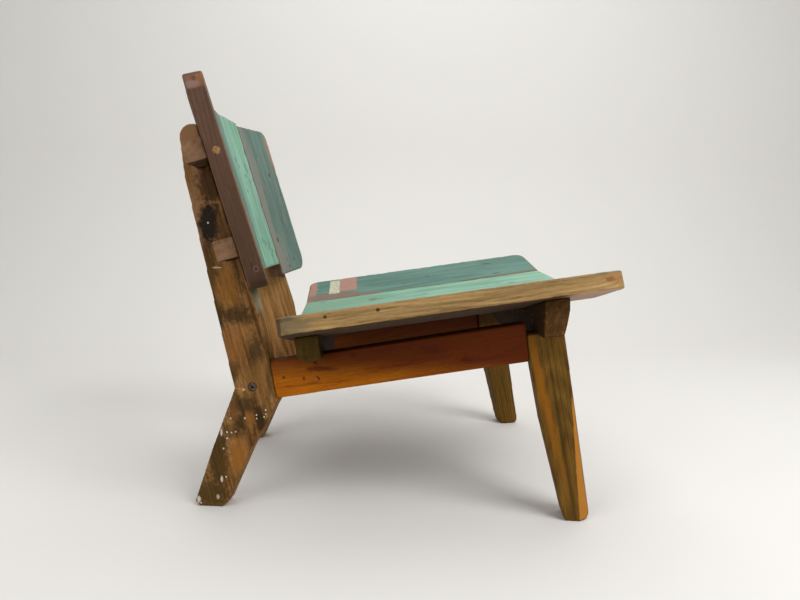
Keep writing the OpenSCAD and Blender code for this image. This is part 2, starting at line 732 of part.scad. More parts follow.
module seat_screws() color(STEEL) on_seat() at_seat_screws() screw();
module back_screws() color(STEEL) on_back() at_back_screws() screw();
module seat_dowels() color(PALE) on_seat() at_dowels(seat, seat_dowel_x) dowel(dowel_d, dowel_len);
module back_dowels() color(PALE) on_back() at_dowels(back, back_dowel_x) dowel(dowel_d, dowel_len);
module front_beam_pegs() color(PALE) at_front_pegs() pin(peg_d, -peg_frame, peg_beam);
module rear_beam_pegs() color(PALE) at_rear_pegs() pin(peg_d, -peg_frame, peg_beam);
module back_beam_pegs() color(PALE) at_back_pegs() pin(peg_d, -peg_frame, peg_back);
module back_edge_plugs() color(PALE) on_back() at_plugs() pin(plug_d, -plug_len, 0);
module seat_edge_nails() color(RUST) on_seat() at_edge(seat, nail_x, nail_z) pin(nail_d, -nail_len - 2, -2);

seat_plank_right_outer();
seat_plank_right_inner();
seat_plank_left_inner();
seat_plank_left_outer();
back_plank_right_outer();
back_plank_right_inner();
back_plank_left_inner();
back_plank_left_outer();
front_seat_beam();
rear_seat_beam();
upper_back_beam();
lower_back_beam();
right_apron();
left_apron();
right_front_leg();
left_front_leg();
right_rear_leg();
left_rear_leg();
knee_bolts();
knee_washers();
seat_screws();
back_screws();
seat_dowels();
back_dowels();
front_beam_pegs();
rear_beam_pegs();
back_beam_pegs();
back_edge_plugs();
seat_edge_nails();
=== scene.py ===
# %% [markdown]
# # A lounge chair of reclaimed boat wood
# The chair is joined from thick old planks that still wear layers of boat paint. The solids
# come from the construction model, in metres, with the floor at Z = 0. This notebook dresses
# them: boards with softened, nibbled edges, and procedural wood, paint, zinc and rust. No
# picture is used, so every finish can be changed by its numbers.

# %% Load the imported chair
import math
import bpy
import bmesh
from mathutils import Euler, Matrix, Vector


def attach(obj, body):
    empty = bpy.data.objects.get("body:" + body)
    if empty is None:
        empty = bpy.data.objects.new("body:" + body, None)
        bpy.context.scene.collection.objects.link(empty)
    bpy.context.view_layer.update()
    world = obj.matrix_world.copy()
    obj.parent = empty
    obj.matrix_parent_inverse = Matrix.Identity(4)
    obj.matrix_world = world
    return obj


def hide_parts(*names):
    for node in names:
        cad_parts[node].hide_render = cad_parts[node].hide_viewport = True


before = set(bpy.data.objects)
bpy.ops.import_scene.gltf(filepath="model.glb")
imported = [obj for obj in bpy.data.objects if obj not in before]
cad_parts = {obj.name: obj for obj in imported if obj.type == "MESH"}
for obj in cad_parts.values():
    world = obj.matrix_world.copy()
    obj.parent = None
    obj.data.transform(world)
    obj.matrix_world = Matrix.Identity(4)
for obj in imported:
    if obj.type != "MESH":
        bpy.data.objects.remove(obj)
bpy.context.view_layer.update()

# %% [markdown]
# ## Camera
# The photograph looks at the chair's right side from a little above the seat, and slightly
# down. A 27 mm lens on a 36 mm sensor gives its perspective: the near front leg looks much
# longer than the far one. A longer lens from further away would flatten that.

# %% Set the camera
DATUM = -0.01773  # X of the construction's datum, seen from the chair's own origin
CAMERA_PLACE = (DATUM - 0.014, -1.1892, 0.469)
CAMERA_DOWN, CAMERA_TURN = 6.466, -2.892  # degrees


def new_object(name, data):
    made = bpy.data.objects.new(name, data)
    bpy.context.scene.collection.objects.link(made)
    return made


def add_camera():
    lens = bpy.data.cameras.new("camera")
    lens.lens = 27.0
    lens.sensor_width = 36.0
    camera = new_object("camera", lens)
    camera.location = CAMERA_PLACE
    camera.rotation_euler = Euler((math.radians(90 - CAMERA_DOWN), 0, math.radians(CAMERA_TURN)))
    bpy.context.scene.camera = camera
    return camera


camera = add_camera()
print("camera at", tuple(round(c, 3) for c in camera.location))

# %% [markdown]
# ## Where each board lies
# A board is easiest to shape and to paint in its own coordinates: X along the grain, 0 at the
# front or top end; Y from the seam towards the outer edge; Z out of the face. These matrices
# carry such coordinates into the chair. They repeat the driving sizes of the construction.

# %% Coordinates of the planks
SIDES = {"right": -1, "left": 1}


def turn(degrees, axis):
    return Matrix.Rotation(math.radians(degrees), 4, axis)


# Half is from the middle to the outer edge, outer is an outer plank's width, the rises are the
# planks' tilts in degrees, and hand says which way the panel's own Y runs
SEAT = dict(half=0.312, outer=0.152, rise=12.5, inner_rise=4.5, thick=0.028, length=0.518, hand=1)
BACK = dict(half=0.258, outer=0.147, rise=13.2, inner_rise=4.6, thick=0.0295, length=0.3315, hand=-1)
SEAT["place"] = Matrix.Translation((DATUM + 0.362, 0, 0.4137)) @ turn(-7.7, "Y")
BACK["place"] = Matrix.Translation((DATUM - 0.2595, 0, 0.7055)) @ turn(-106, "Y") @ turn(180, "X")


def seam(panel):
    """How far out and how far down the inner and the outer plank meet."""
    rise = math.radians(panel["rise"])
    return panel["half"] - panel["outer"] * math.cos(rise), -panel["outer"] * math.sin(rise)


def board_frame(panel, outer, side):
    """Matrix of one plank; its origin is the face's inner corner at the front or top end."""
    seam_y, seam_z = seam(panel)
    inner = panel["inner_rise"]
    if outer:
        local = Matrix.Translation((0, seam_y, seam_z)) @ turn(panel["rise"], "X")
    else:
        middle = seam_z - seam_y * math.tan(math.radians(inner))
        local = Matrix.Translation((0, 0, middle)) @ turn(inner, "X")
    return panel["place"] @ Matrix.Diagonal((1, SIDES[side] * panel["hand"], 1, 1)) @ local


def inner_width(panel):
    return seam(panel)[0] / math.cos(math.radians(panel["inner_rise"]))


print("inner planks", round(inner_width(SEAT), 4), round(inner_width(BACK), 4))

# %% [markdown]
# ## Coordinates of the side frames
# Each side frame is turned by 8 degrees, so the chair is wider in front. In a frame's own
# coordinates X runs forward, Y is 0 on the outer face and negative inside, and Z is up. The
# grain of a leg follows the leg, so a second turn lays X along it.

# %% Matrices of the side frames
SPLAY = 8  # degrees
HALF_SPAN = 0.229  # from the chair's middle to a frame's outer face, at the datum
REAR_LEG = dict(lean=14, height=0.208, offset=-0.206)
FRONT_LEG = dict(lean=11, height=0.160, offset=0.2625)
RAIL_HEIGHT, RAIL_SLOPE = 0.2222, 9.6  # the aprons' height at the datum, and degrees


def side_frame(side):
    mirror = Matrix.Diagonal((1, SIDES[side], 1, 1))
    return mirror @ Matrix.Translation((DATUM, HALF_SPAN, 0)) @ turn(SPLAY, "Z")


def along_leg(side, lean, height, offset):
    """X runs up a leg that leans back by some degrees, Y outwards, Z to the rear."""
    return side_frame(side) @ Matrix.Translation((offset, 0, height)) @ turn(-90 - lean, "Y")


def along_apron(side):
    return side_frame(side) @ Matrix.Translation((0, 0, RAIL_HEIGHT)) @ turn(-RAIL_SLOPE, "Y")


print("right frame starts at", tuple(round(c, 3) for c in side_frame("right").to_translation()))

# %% [markdown]
# ## A bench for node trees
# Shaders and geometry trees are both graphs of nodes, long and hard to read when written node
# by node. Here a Signal wraps a socket, so that Python's own operators add the Math nodes, and
# a Bench has one method for any other node: its settings, then its sockets' values or links.

# %% Signals and the bench
SEED_STEPS = (3.17, 7.31, 5.53)  # how far one seed's part of the noise lies from the next one's


def seen(colour):
    """A colour as a screen shows it, from 0 to 255, as the linear values that nodes use."""
    shares = [c / 255 for c in colour]
    return (*[c / 12.92 if c <= 0.04045 else ((c + 0.055) / 1.055) ** 2.4 for c in shares], 1.0)


class Signal:
    """A socket in a node tree, on which Python's operators add Math nodes."""

    def __init__(self, bench, socket):
        self.bench, self.socket = bench, socket

    def math(self, operation, *others):
        settings = {"operation": operation}
        return self.bench.signal("ShaderNodeMath", settings, enumerate((self, *others)))

    def __add__(self, other):
        return self.math("ADD", other)

    def __sub__(self, other):
        return self.math("SUBTRACT", other)

    def __rsub__(self, other):
        return self.math("MULTIPLY", -1) + other

    def __mul__(self, other):
        return self.math("MULTIPLY", other)

    def __truediv__(self, other):
        return self.math("DIVIDE", other)

    def __abs__(self):
        return self.math("ABSOLUTE")

    __radd__ = __add__
    __rmul__ = __mul__


class Bench:
    """A node tree with short ways to add nodes and to join them."""

    def __init__(self, tree):
        self.tree = tree

    def feed(self, socket, value):
        if isinstance(value, Signal):
            self.tree.links.new(value.socket, socket)
        else:
            socket.default_value = seen(value) if socket.type == "RGBA" else value

    def node(self, kind, settings=(), values=()):
        made = self.tree.nodes.new(kind)
        for key, value in dict(settings).items():
            setattr(made, key, value)
        for key, value in dict(values).items():
            self.feed(made.inputs[key], value)
        return made

    def signal(self, kind, settings=(), values=(), output=0):
        return Signal(self, self.node(kind, settings, values).outputs[output])

    def xyz(self, vector):
        made = self.node("ShaderNodeSeparateXYZ", values={0: vector})
        return [Signal(self, made.outputs[k]) for k in range(3)]

    def vector(self, x, y, z):
        return self.signal("ShaderNodeCombineXYZ", values={0: x, 1: y, 2: z})

    def vector_math(self, operation, *vectors, output=0):
        return self.signal("ShaderNodeVectorMath", {"operation": operation}, enumerate(vectors), output)

    def noise(self, at, along, across, seed, detail=2.0, rough=0.5):
        """Smooth noise from 0 to 1, whose lumps are 1 / along metres long on X and 1 / across
        wide. The seed moves it to another part of the noise."""
        shift = self.vector(*(seed * step for step in SEED_STEPS))
        moved = self.vector_math("MULTIPLY_ADD", at, (along, across, across), shift)
        values = {"Vector": moved, "Scale": 1.0, "Detail": detail, "Roughness": rough}
        return self.signal("ShaderNodeTexNoise", values=values)

    def smooth(self, value, low, high):
        """0 below low, 1 above high and a soft step between them; high may be the lower one."""
        flip = low > high
        span = {"Value": value, "From Min": min(low, high), "From Max": max(low, high),
                "To Min": float(flip), "To Max": float(not flip)}
        return self.signal("ShaderNodeMapRange", {"interpolation_type": "SMOOTHSTEP"}, span)

    def mix(self, share, first, second):
        return self.signal("ShaderNodeMix", {"data_type": "RGBA"}, {0: share, 6: first, 7: second}, output=2)

    def spot(self, at, centre, radii, edge, ragged):
        """1 inside an ellipsoid and 0 outside, with a soft and ragged edge."""
        start = [-c / r for c, r in zip(centre, radii)]
        near = self.vector_math("MULTIPLY_ADD", at, [1 / r for r in radii], start)
        reach = self.vector_math("LENGTH", near, output="Value")
        return self.smooth(reach + ragged, 1 + edge, 1 - edge)

    def block(self, at, centre, radii, edge, ragged):
        """The same with straight sides, like a masked patch of paint."""
        far = [abs(value - middle) / radius for value, middle, radius in zip(self.xyz(at), centre, radii)]
        reach = far[0].math("MAXIMUM", far[1]).math("MAXIMUM", far[2])
        return self.smooth(reach + ragged * 0.3, 1 + edge, 1 - edge)

    def principled(self, values):
        """The shader that ends a material."""
        shader = self.signal("ShaderNodeBsdfPrincipled", values=values)
        self.node("ShaderNodeOutputMaterial", values={"Surface": shader})


def new_tree(name, source, sizes, result):
    """The bench and the inputs of a geometry tree: a mesh or none, some sizes and a finish."""
    tree = bpy.data.node_groups.new(name, "GeometryNodeTree")
    sockets = [(source, "INPUT", "Geometry")] if source else []
    sockets += [(size, "INPUT", "Float") for size in sizes]
    for title, way, kind in sockets + [("Finish", "INPUT", "Material"), (result, "OUTPUT", "Geometry")]:
        tree.interface.new_socket(title, in_out=way, socket_type="NodeSocket" + kind)
    b = Bench(tree)
    return b, {socket.name: Signal(b, socket) for socket in b.node("NodeGroupInput").outputs}


def worn_by(b, mesh, moved, finish):
    """Ends a geometry tree: moves the skin, smooths its shading and gives it the finish."""
    worn = b.signal("GeometryNodeSetPosition", values={"Geometry": mesh, **moved})
    smooth = b.signal("GeometryNodeSetShadeSmooth", values={"Geometry": worn})
    finished(b, smooth, finish)


def finished(b, mesh, finish):
    real = b.signal("GeometryNodeRealizeInstances", values={"Geometry": mesh})
    dressed = b.signal("GeometryNodeSetMaterial", values={"Geometry": real, "Material": finish})
    b.node("NodeGroupOutput", values={0: dressed})


def along_normal(b, amount):
    normal = b.signal("GeometryNodeInputNormal")
    return b.signal("ShaderNodeVectorMath", {"operation": "SCALE"}, {0: normal, "Scale": amount})


print("the bench is ready")

# %% [markdown]
# ## The planks, by one board tree
# Eight planks share one rule: a thick board with worn, rounded arrises and, on the outer ones,
# two rounded corners. A Geometry Nodes tree makes it from a finely divided block: it crowds the
# cells at the edges, maps the square section onto a rounded one, rounds the plan's corners the
# same way, and moves the skin by noise. A Bevel modifier could not wear the arrises unevenly.

# %% The board tree
BOARD_SIZES = ("Length", "Width", "Thickness", "Front corner", "Rear corner", "Seed")
ARRIS = 0.0028  # radius of the rounded arrises before wear
CELL = 0.0028  # cells along and across the face
EDGE_CELL = 0.0008  # size of the three crowded cells next to each edge
DEPTH_CELLS = 15  # divisions of the thickness
TINY = 1e-12  # keeps a root from being nought


def crowded(coordinate, size, count):
    """Distance from the middle after three small cells are laid next to each edge."""
    half = size / 2
    step = (half - abs(coordinate)) / (size / count)
    inner = (half - 3 * EDGE_CELL) / (count / 2 - 3)
    return half - step.math("MINIMUM", 3.0) * EDGE_CELL - (step - 3).math("MAXIMUM", 0.0) * inner


def rounding(across, along):
    """What brings a point from the border of a square to the border of its circle."""
    return across.math("MAXIMUM", along) / (across * across + along * along + TINY).math("SQRT")


def eased(x, y, z, halves, arris):
    """Maps the square border of a section onto a quarter circle of radius arris."""
    hx, hy, hz = (half - arris for half in halves)
    flat = (x - hx).math("MAXIMUM", y - hy).math("MAXIMUM", 0.0)
    deep = (z - hz).math("MAXIMUM", 0.0)
    share = rounding(flat, deep)
    reach = flat * share
    return x.math("MINIMUM", hx + reach), y.math("MINIMUM", hy + reach), z.math("MINIMUM", hz + deep * share)


def board_tree():
    b, size = new_tree("worn board", None, BOARD_SIZES, "Board")
    length, width, thick, seed = (size[n] for n in ("Length", "Width", "Thickness", "Seed"))
    cells = [(length / CELL).math("ROUND"), (width / CELL).math("ROUND"), DEPTH_CELLS]
    corners = {"Vertices " + axis: count + 1 for axis, count in zip("XYZ", cells)}
    block = b.signal("GeometryNodeMeshCube", values={"Size": b.vector(length, width, thick), **corners})

    place = b.signal("GeometryNodeInputPosition")
    here = b.xyz(place)
    signs = [c.math("SIGN") for c in here]
    sizes = (length, width, thick)
    x, y, z = (crowded(c, s, n) for c, s, n in zip(here, sizes, cells))
    low = b.noise(place, 22, 22, seed)
    x, y, z = eased(x, y, z, [s / 2 for s in sizes], (low * 1.3 + 0.35) * ARRIS)
    front = here[0].math("GREATER_THAN", 0.0)
    radius = size["Rear corner"] + (size["Front corner"] - size["Rear corner"]) * front
    outward = y * signs[1]
    over_x = (x - length / 2 + radius).math("MAXIMUM", 0.0)
    over_y = (outward - width / 2 + radius).math("MAXIMUM", 0.0)
    share = rounding(over_x, over_y)
    x, outward = x - over_x + over_x * share, outward - over_y + over_y * share
    shaped = b.signal("GeometryNodeSetPosition", values={
        "Geometry": block, "Position": b.vector(x * signs[0], outward, z * signs[2])})

    px, py, pz = (abs(c) for c in here)
    rim = (length / 2 - px).math("MINIMUM", width / 2 - py).math("MAXIMUM", thick / 2 - pz)
    edge = b.smooth(rim, 0.007, 0.001)
    waves = b.noise(place, 3, 14, seed) - 0.5
    ridges = b.noise(place, 14, 160, seed, 3) - 0.5
    bites = b.smooth(b.noise(place, 45, 70, seed, 3), 0.52, 0.75) * edge
    push = waves * 0.0010 + ridges * 0.0005 - bites * 0.0017
    worn_by(b, shaped, {"Offset": along_normal(b, push)}, size["Finish"])
    return b.tree


BOARD = board_tree()
print("board tree with", len(BOARD.nodes), "nodes")

# %% Run a tree and keep its mesh
def made_by(tree, name, inputs, base=None):
    """Sets a tree's inputs, evaluates it once and returns a plain mesh object."""
    carrier = new_object(name + "_carrier", base or bpy.data.meshes.new(name + "_base"))
    modifier = carrier.modifiers.new("tree", "NODES")
    modifier.node_group = tree
    for item in tree.interface.items_tree:
        if item.in_out == "INPUT" and item.name in inputs:
            modifier[item.identifier] = inputs[item.name]
    return plain(carrier, name)


def plain(carrier, name):
    """Replaces an object that has modifiers by a plain mesh object."""
    bpy.context.view_layer.update()
    graph = bpy.context.evaluated_depsgraph_get()
    mesh = bpy.data.meshes.new_from_object(carrier.evaluated_get(graph), depsgraph=graph)
    mesh.name = name
    bpy.data.objects.remove(carrier)
    return new_object(name, mesh)


def set_in_place(piece, matrix):
    """Moves a mesh to its place; a mirrored place would turn the faces inside out."""
    piece.data.transform(matrix)
    if matrix.determinant() < 0:
        piece.data.flip_normals()


def hand_over(piece, node):
    """Hides the node that a piece stands in for and attaches the piece to the body it rides on."""
    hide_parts(node)
    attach(piece, "root")
    print(piece.name, len(piece.data.polygons), "faces")


asked = [item.name for item in BOARD.interface.items_tree if item.in_out == "INPUT"]
print("a board asks for", ", ".join(asked))

# %% [markdown]
# ## Wood and paint as formulas
# Real boards show their history in layers: growth rings, fibres and pores in the wood, brushed
# paint that has worn through, and knocks on top. Each layer here is a function that adds nodes
# to a bench. All of them read the board's own coordinates, so that the grain runs along each
# piece and shows as short marks on its ends, as it does on sawn wood.

# %% Colours, coordinates and directions
def new_finish(name):
    material = bpy.data.materials.new(name)
    material.use_nodes = True
    material.node_tree.nodes.clear()
    return material, Bench(material.node_tree)


def coordinates(b, matrix):
    """Object coordinates seen from a board's or frame's own place."""
    hand = -1 if matrix.determinant() < 0 else 1
    turned = matrix @ Matrix.Diagonal((1, hand, 1, 1))
    return b.signal("ShaderNodeMapping", {"vector_type": "TEXTURE"}, {
        "Vector": b.signal("ShaderNodeTexCoord", output="Object"),
        "Location": turned.to_translation(), "Rotation": turned.to_euler(), "Scale": (1, hand, 1)})


def facing(b, matrix, axis, low=0.55, high=0.75):
    """1 where the surface looks along an axis of a board or frame."""
    way = (matrix.to_3x3() @ Vector(axis)).normalized()
    normal = b.signal("ShaderNodeTexCoord", output="Normal")
    return b.smooth(b.vector_math("DOT_PRODUCT", normal, way, output="Value"), low, high)


def bump(b, height, strength, distance):
    return b.signal("ShaderNodeBump", values={"Height": height, "Strength": strength, "Distance": distance})


def surface(b, colour, roughness, height, relief=0.0006, sheen=0.35):
    """Joins a colour, a roughness and a height to the shader that all wood and paint share."""
    b.principled({"Base Color": colour, "Roughness": roughness, "Normal": bump(b, height, 0.8, relief),
                  "Specular IOR Level": sheen})


print("a mid grey is", round(seen((128, 128, 128))[0], 3), "in linear light")

# %% Bare wood
def bare_wood(b, at, dark, middle, light, seed, ring=0.004, heart=(0.03, -0.10), lean=0.0, contrast=1.0,
              clouds=0.9, thread=(9, 210)):
    """Colour, height and tone of sawn wood whose grain runs along X. Ring is the width of a
    year's growth, heart the tree's centre, thread the fibres' noise along and across."""
    x, y, z = b.xyz(at)
    sway = b.noise(at, 2.5, 11, seed, 2) - 0.5
    ring_y = y + x * lean + sway * 0.030 - heart[0]
    ring_z = z + sway * 0.012 - heart[1]
    radius = (ring_y * ring_y + ring_z * ring_z).math("SQRT")
    rings = (radius * (2 * math.pi / ring)).math("SINE") * 0.5 + 0.5
    fibres = b.noise(at, *thread, seed + 1, 3, 0.6)
    fine = b.noise(at, 45, 560, seed + 2, 3, 0.65)
    cloud = b.noise(at, 5, 28, seed + 3, 3, 0.6)
    tone = (rings - 0.5) * 0.22 + (fibres - 0.5) * 0.9 + (cloud - 0.5) * clouds + (fine - 0.5) * 0.75
    tone = tone * contrast + 0.5
    pores = b.smooth(b.noise(at, 110, 1300, seed + 4, 1), 0.60, 0.70)
    colour = b.mix(b.smooth(tone, 0.22, 0.50), dark, middle)
    colour = b.mix(b.smooth(tone, 0.50, 0.80), colour, light)
    colour = b.mix(pores * 0.35, colour, dark)
    height = fibres * 0.5 + fine * 0.5 + rings * 0.15 - pores * 0.5
    return colour, height, tone


def paint_layer(b, at, paint, shade, seed):
    """Brushed, faded paint: streaks along the board and clouds across it."""
    brush = b.noise(at, 6, 80, seed + 5, 4, 0.6)
    cloud = b.noise(at, 8, 14, seed + 6, 3)
    share = b.smooth(brush * 0.6 + cloud * 0.4, 0.40, 0.60)
    return b.mix(share, shade, paint), brush * 0.4 + 0.6


def rim_distance(b, at, length, width, top):
    """Distance to the nearest edge of a board's face, in metres."""
    x, y, _ = b.xyz(at)
    return (top - x).math("MINIMUM", x + length).math("MINIMUM", y).math("MINIMUM", width - y)


def wobble(b, at, seed, size=90, amount=0.9):
    """Noise that frays the outline of a mark."""
    return (b.noise(at, size, size, seed + 7, 3, 0.6) - 0.5) * amount


USUAL = (0.9, 0.3)  # how much a mark covers and how soft it is, where its row doesn't say


def marked(b, at, colour, marks, ragged):
    """Lays marks over a colour. A mark is its centre, its radii in millimetres, its colour,
    how much it covers, how soft its edge is, and words for a square or a flaking patch."""
    for centre, radii, tint, *rest in marks:
        share, edge, *kind = rest or USUAL
        shape = b.block if kind else b.spot
        spot = shape(at, [c / 1000 for c in centre], [r / 1000 for r in radii], edge, ragged)
        if "flaking" in kind:
            spot = spot * b.smooth(b.noise(at, 420, 420, 77, 4, 0.8), 0.40, 0.54)
        colour = b.mix(spot * share, colour, tint)
    return colour


print("wood and paint are defined")

# %% [markdown]
# ## Finishes of the planks
# The faces wear old boat paint: mint and teal, rubbed grey where people sit and lean, with
# short dark nicks along the grain. Paint covers only the faces. The sawn edges are bare: the
# seat's are tan and streaked, and the near back plank's edge is stained dark brown. The mask
# for the face comes from the direction that the surface looks in, not from a painted map.

# %% Colours of the planks
TAN_EDGE = ((112, 84, 44), (154, 122, 74), (184, 152, 100))
# Of these, the second colour is painted shade for the seat planks' undersides behind the front beam.
UNDER, UNDERSIDE_SHADOW, END_GRAIN = (176, 146, 128), (50, 26, 6), (72, 48, 26)
MINT, TEAL = ((134, 180, 156), (106, 152, 128)), ((94, 132, 120), (74, 112, 100))
FADED, BROWN = ((98, 124, 114), (80, 104, 96)), ((96, 70, 50), (80, 56, 40))
PINK, PURPLE, CREAM = (176, 124, 108), (128, 100, 88), (226, 216, 186)
GREY_BROWN, RUST_LINE = (128, 122, 112), (120, 78, 50)
DARK_MARK, NICK = (46, 34, 22), (48, 50, 40)
STAIN = ((68, 46, 34), (86, 60, 44), (98, 70, 52))
BROWN_EDGE = ((62, 40, 20), (88, 60, 34), (112, 82, 52))
print("plank colours are set")

# %% A painted plank
# Painted shade: behind the front beam a seat plank's underside is painted dark, as the seat shades it.
LIT_UNDERSIDE = (-0.10, -0.06)  # the underside turns pale towards its front end, between these


def plank_finish(name, matrix, length, width, seed, top, paint, grey, rubbed=GREY_BROWN,
                 edge=TAN_EDGE, marks=(), edge_marks=(), nicks=0.50, worn=0.005,
                 under=None, crown=0.0):
    """Paint on the face over bare wood. Grey is how much is rubbed, nicks how rare the nicks
    are, worn how wide the bare rim is, crown how dark the front or top end is."""
    material, b = new_finish(name)
    at = coordinates(b, matrix)
    wood, height, tone = bare_wood(b, at, *edge, seed, contrast=0.75)
    fray = wobble(b, at, seed)
    wood = marked(b, at, wood, edge_marks, fray)
    face = facing(b, matrix, (0, 0, 1))
    back = facing(b, matrix, (0, 0, -1))
    # Painted shade: a seat plank's underside is dark behind the front beam and pale in front of it.
    if under is None:
        x, _, _ = b.xyz(at)
        wood = b.mix(back * 0.92, wood, b.mix(b.smooth(x, *LIT_UNDERSIDE), UNDERSIDE_SHADOW, UNDER))
    else:
        wood = b.mix(back * 0.55, wood, under)
    wood = b.mix(facing(b, matrix, (-1, 0, 0)) * 0.85, wood, END_GRAIN)
    wood = b.mix(facing(b, matrix, (1, 0, 0)) * crown, wood, END_GRAIN)
    colour, film = paint_layer(b, at, *paint, seed)
    patch = b.smooth(b.noise(at, 5, 26, seed + 8, 4, 0.65), 0.52, 0.66)
    colour = marked(b, at, b.mix(patch * grey, colour, rubbed), marks, fray)
    rim = rim_distance(b, at, length, width, top)
    rim = rim + (b.noise(at, 40, 60, seed + 9, 3, 0.6) - 0.5) * 0.010
    bare = b.smooth(rim, worn, worn * 0.2)
    dashes = b.smooth(b.noise(at, 32, 260, seed + 10, 2, 0.5), 0.63, 0.69)
    area = b.smooth(b.noise(at, 9, 30, seed + 11, 2), nicks, nicks + 0.15)
    nick = dashes * area
    colour = b.mix(bare * 0.8, colour, b.mix(0.5, wood, rubbed))
    colour = b.mix(nick * 0.9, colour, NICK)
    final = b.mix(face, wood, colour)
    rough = 0.66 + (tone - 0.5) * 0.15 - face * 0.08 + back * 0.3
    relief = height * (1 - face * 0.55) + (film * 0.5 - bare * 0.6 - nick * 1.2) * face
    surface(b, final, rough, relief, sheen=0.25)
    return material


print("a plank's finish is defined")

# %% [markdown]
# ## Marks
# Stains, patches of other paint, nicks and nail holes make this chair this one. Noise alone
# would put them anywhere, so they are listed one by one, in millimetres. A row gives a place, two
# radii, a colour, how much it covers and how soft its edge is.

# %% Rows of marks
DEEP = 20  # how far a mark reaches into the wood


def on_face(rows):
    """Rows that start with x and y on a face and the radii along them."""
    return [((x, y, 0), (rx, ry, DEEP), *look) for x, y, rx, ry, *look in rows]


def on_side(rows, out=0, deep=DEEP):
    """Rows that start with x and z on an edge or an outer face, which lies out from Y = 0."""
    return [((x, out, z), (rx, deep, rz), *look) for x, z, rx, rz, *look in rows]


print("a mark on a face:", *on_face([(-60, 1, 110, 9, NICK)]))

# %% Marks on the planks
SEAT_EDGE, BACK_EDGE = 152, 147  # where the outer edges lie, from the seam
OLIVE_STREAK = (112, 92, 56)
SEAT_FAR_MARKS = on_face([
    (-523, 76, 15, 90, PINK, 0.85, 0.25),
    (-433, 101, 20, 50, PINK, 0.9, 0.1, "square"),
    (-470, 22, 62, 27, PURPLE, 0.9, 0.2),
    (-420, 8, 62, 14, PURPLE, 0.9, 0.25),
    (-60, 1, 110, 9, RUST_LINE, 0.75, 0.2),
    (-300, 0, 300, 3.2, DARK_MARK),
    (-466, 90, 12, 50, CREAM, 0.97, 0.1, "square", "flaking"),
    (-93, 108, 11, 3, NICK),
    (-88, 24, 9, 3, NICK),
    (-146, 142, 6, 2.6, NICK),
    (-243, 72, 4, 3, NICK),
    (-300, 43, 7, 2, NICK, 0.8, 0.3),
])
SEAT_MINT_MARKS = on_face([
    (-378, 98, 11, 8, DARK_MARK),
    (-362, 92, 10, 3, DARK_MARK, 0.8, 0.3),
    (-380, 84, 9, 5, (120, 80, 50), 0.7, 0.3),
    (-300, 163, 300, 3, (112, 140, 118), 0.5, 0.3),
    (-470, 80, 120, 90, (112, 150, 122), 0.6, 0.6),
    (-82, 67, 9, 2.4, NICK),
    (-488, 144, 8, 2.4, NICK, 0.8, 0.3),
    (-267, 76, 6, 2.4, NICK, 0.8, 0.3),
])
BACK_MINT_MARKS = on_face([(x, y, rx, 2.4, NICK) for x, y, rx in (
    (-88, 24, 7), (-100, 32, 6), (-96, 78, 8), (-106, 84, 6), (-118, 60, 4), (-128, 82, 4),
    (-252, 34, 5), (-258, 52, 6), (-262, 76, 7), (-270, 64, 5), (-276, 88, 6), (-286, 74, 4), (-150, 40, 3))])
BACK_FAR_MARKS = on_face([
    (-170, 10, 190, 22, GREY_BROWN, 0.8, 0.5),
    (-300, 24, 50, 30, GREY_BROWN, 0.7, 0.4),
    (-50, 138, 52, 11, (150, 120, 92), 0.85, 0.25),
    (-150, 0, 190, 2, RUST_LINE, 0.8, 0.3),
    (-109, 96, 5, 4, DARK_MARK),
    (-256, 29, 6, 5, (84, 50, 36), 0.85, 0.3),
    (-318, 52, 3.5, 3.5, DARK_MARK),
    (-306, 88, 3, 3, DARK_MARK),
])
BACK_NEAR_MARKS = on_face([(-170, 126, 200, 34, (112, 86, 62), 0.9, 0.3)])
SEAT_EDGE_MARKS = on_side([
    (-500, -16, 30, 14, (104, 92, 66), 0.75, 0.5),
    (-512, -4, 22, 4, (70, 62, 48), 0.7, 0.4),
    (-420, -9, 90, 2.2, OLIVE_STREAK, 0.6, 0.4),
    (-250, -14, 120, 2.4, OLIVE_STREAK, 0.5, 0.4),
    (-120, -7, 90, 2.0, OLIVE_STREAK, 0.45, 0.4),
    (-345, -19, 110, 2.0, OLIVE_STREAK, 0.45, 0.4),
    (-14, -10, 13, 9, (150, 98, 50), 0.55, 0.5),
    (-20, -12, 7, 3, (104, 74, 40), 0.6, 0.4),
    (-20, -1, 26, 1.6, (104, 96, 78), 0.8, 0.4),
    (-447, -9, 2.6, 2.6, (70, 34, 30), 1.0, 0.25),
    (-369, -9, 3.0, 2.6, (64, 42, 36), 1.0, 0.25),
    (-240, -26, 90, 2, (92, 70, 44), 0.5, 0.4),
], SEAT_EDGE)
BACK_EDGE_MARKS = on_side([
    (-5, -15, 16, 30, (118, 80, 54), 0.8, 0.12, "square"),
    (-15, -20, 6, 12, (140, 118, 110), 0.5, 0.5),
    (-6, -7, 8, 6, (136, 84, 46), 0.6, 0.6),
    (-7, -15, 4, 3, (74, 48, 34), 0.7, 0.5),
    (-301, -12, 4.5, 4.5, (140, 104, 84), 0.8, 0.3),
    (-301, -12, 2.4, 2.4, (24, 12, 8), 1.0, 0.25),
    (-294, -17, 6, 1.3, (26, 16, 10)),
    (-260, -15, 120, 30, (64, 42, 20), 0.6, 0.6),
    (-160, -1.5, 190, 1.2, (150, 124, 98), 0.5, 0.5),
], BACK_EDGE)
print("marks on the near plank edges:", len(SEAT_EDGE_MARKS), "and", len(BACK_EDGE_MARKS))

# %% [markdown]
# ## The eight planks
# Four planks make the seat and four the back. No two have the same length, paint and wear. The
# far ones could be mirrored copies of the near ones, but then their nicks and streaks would be
# the same, so one function builds any plank, and what sets a plank apart is given to it.

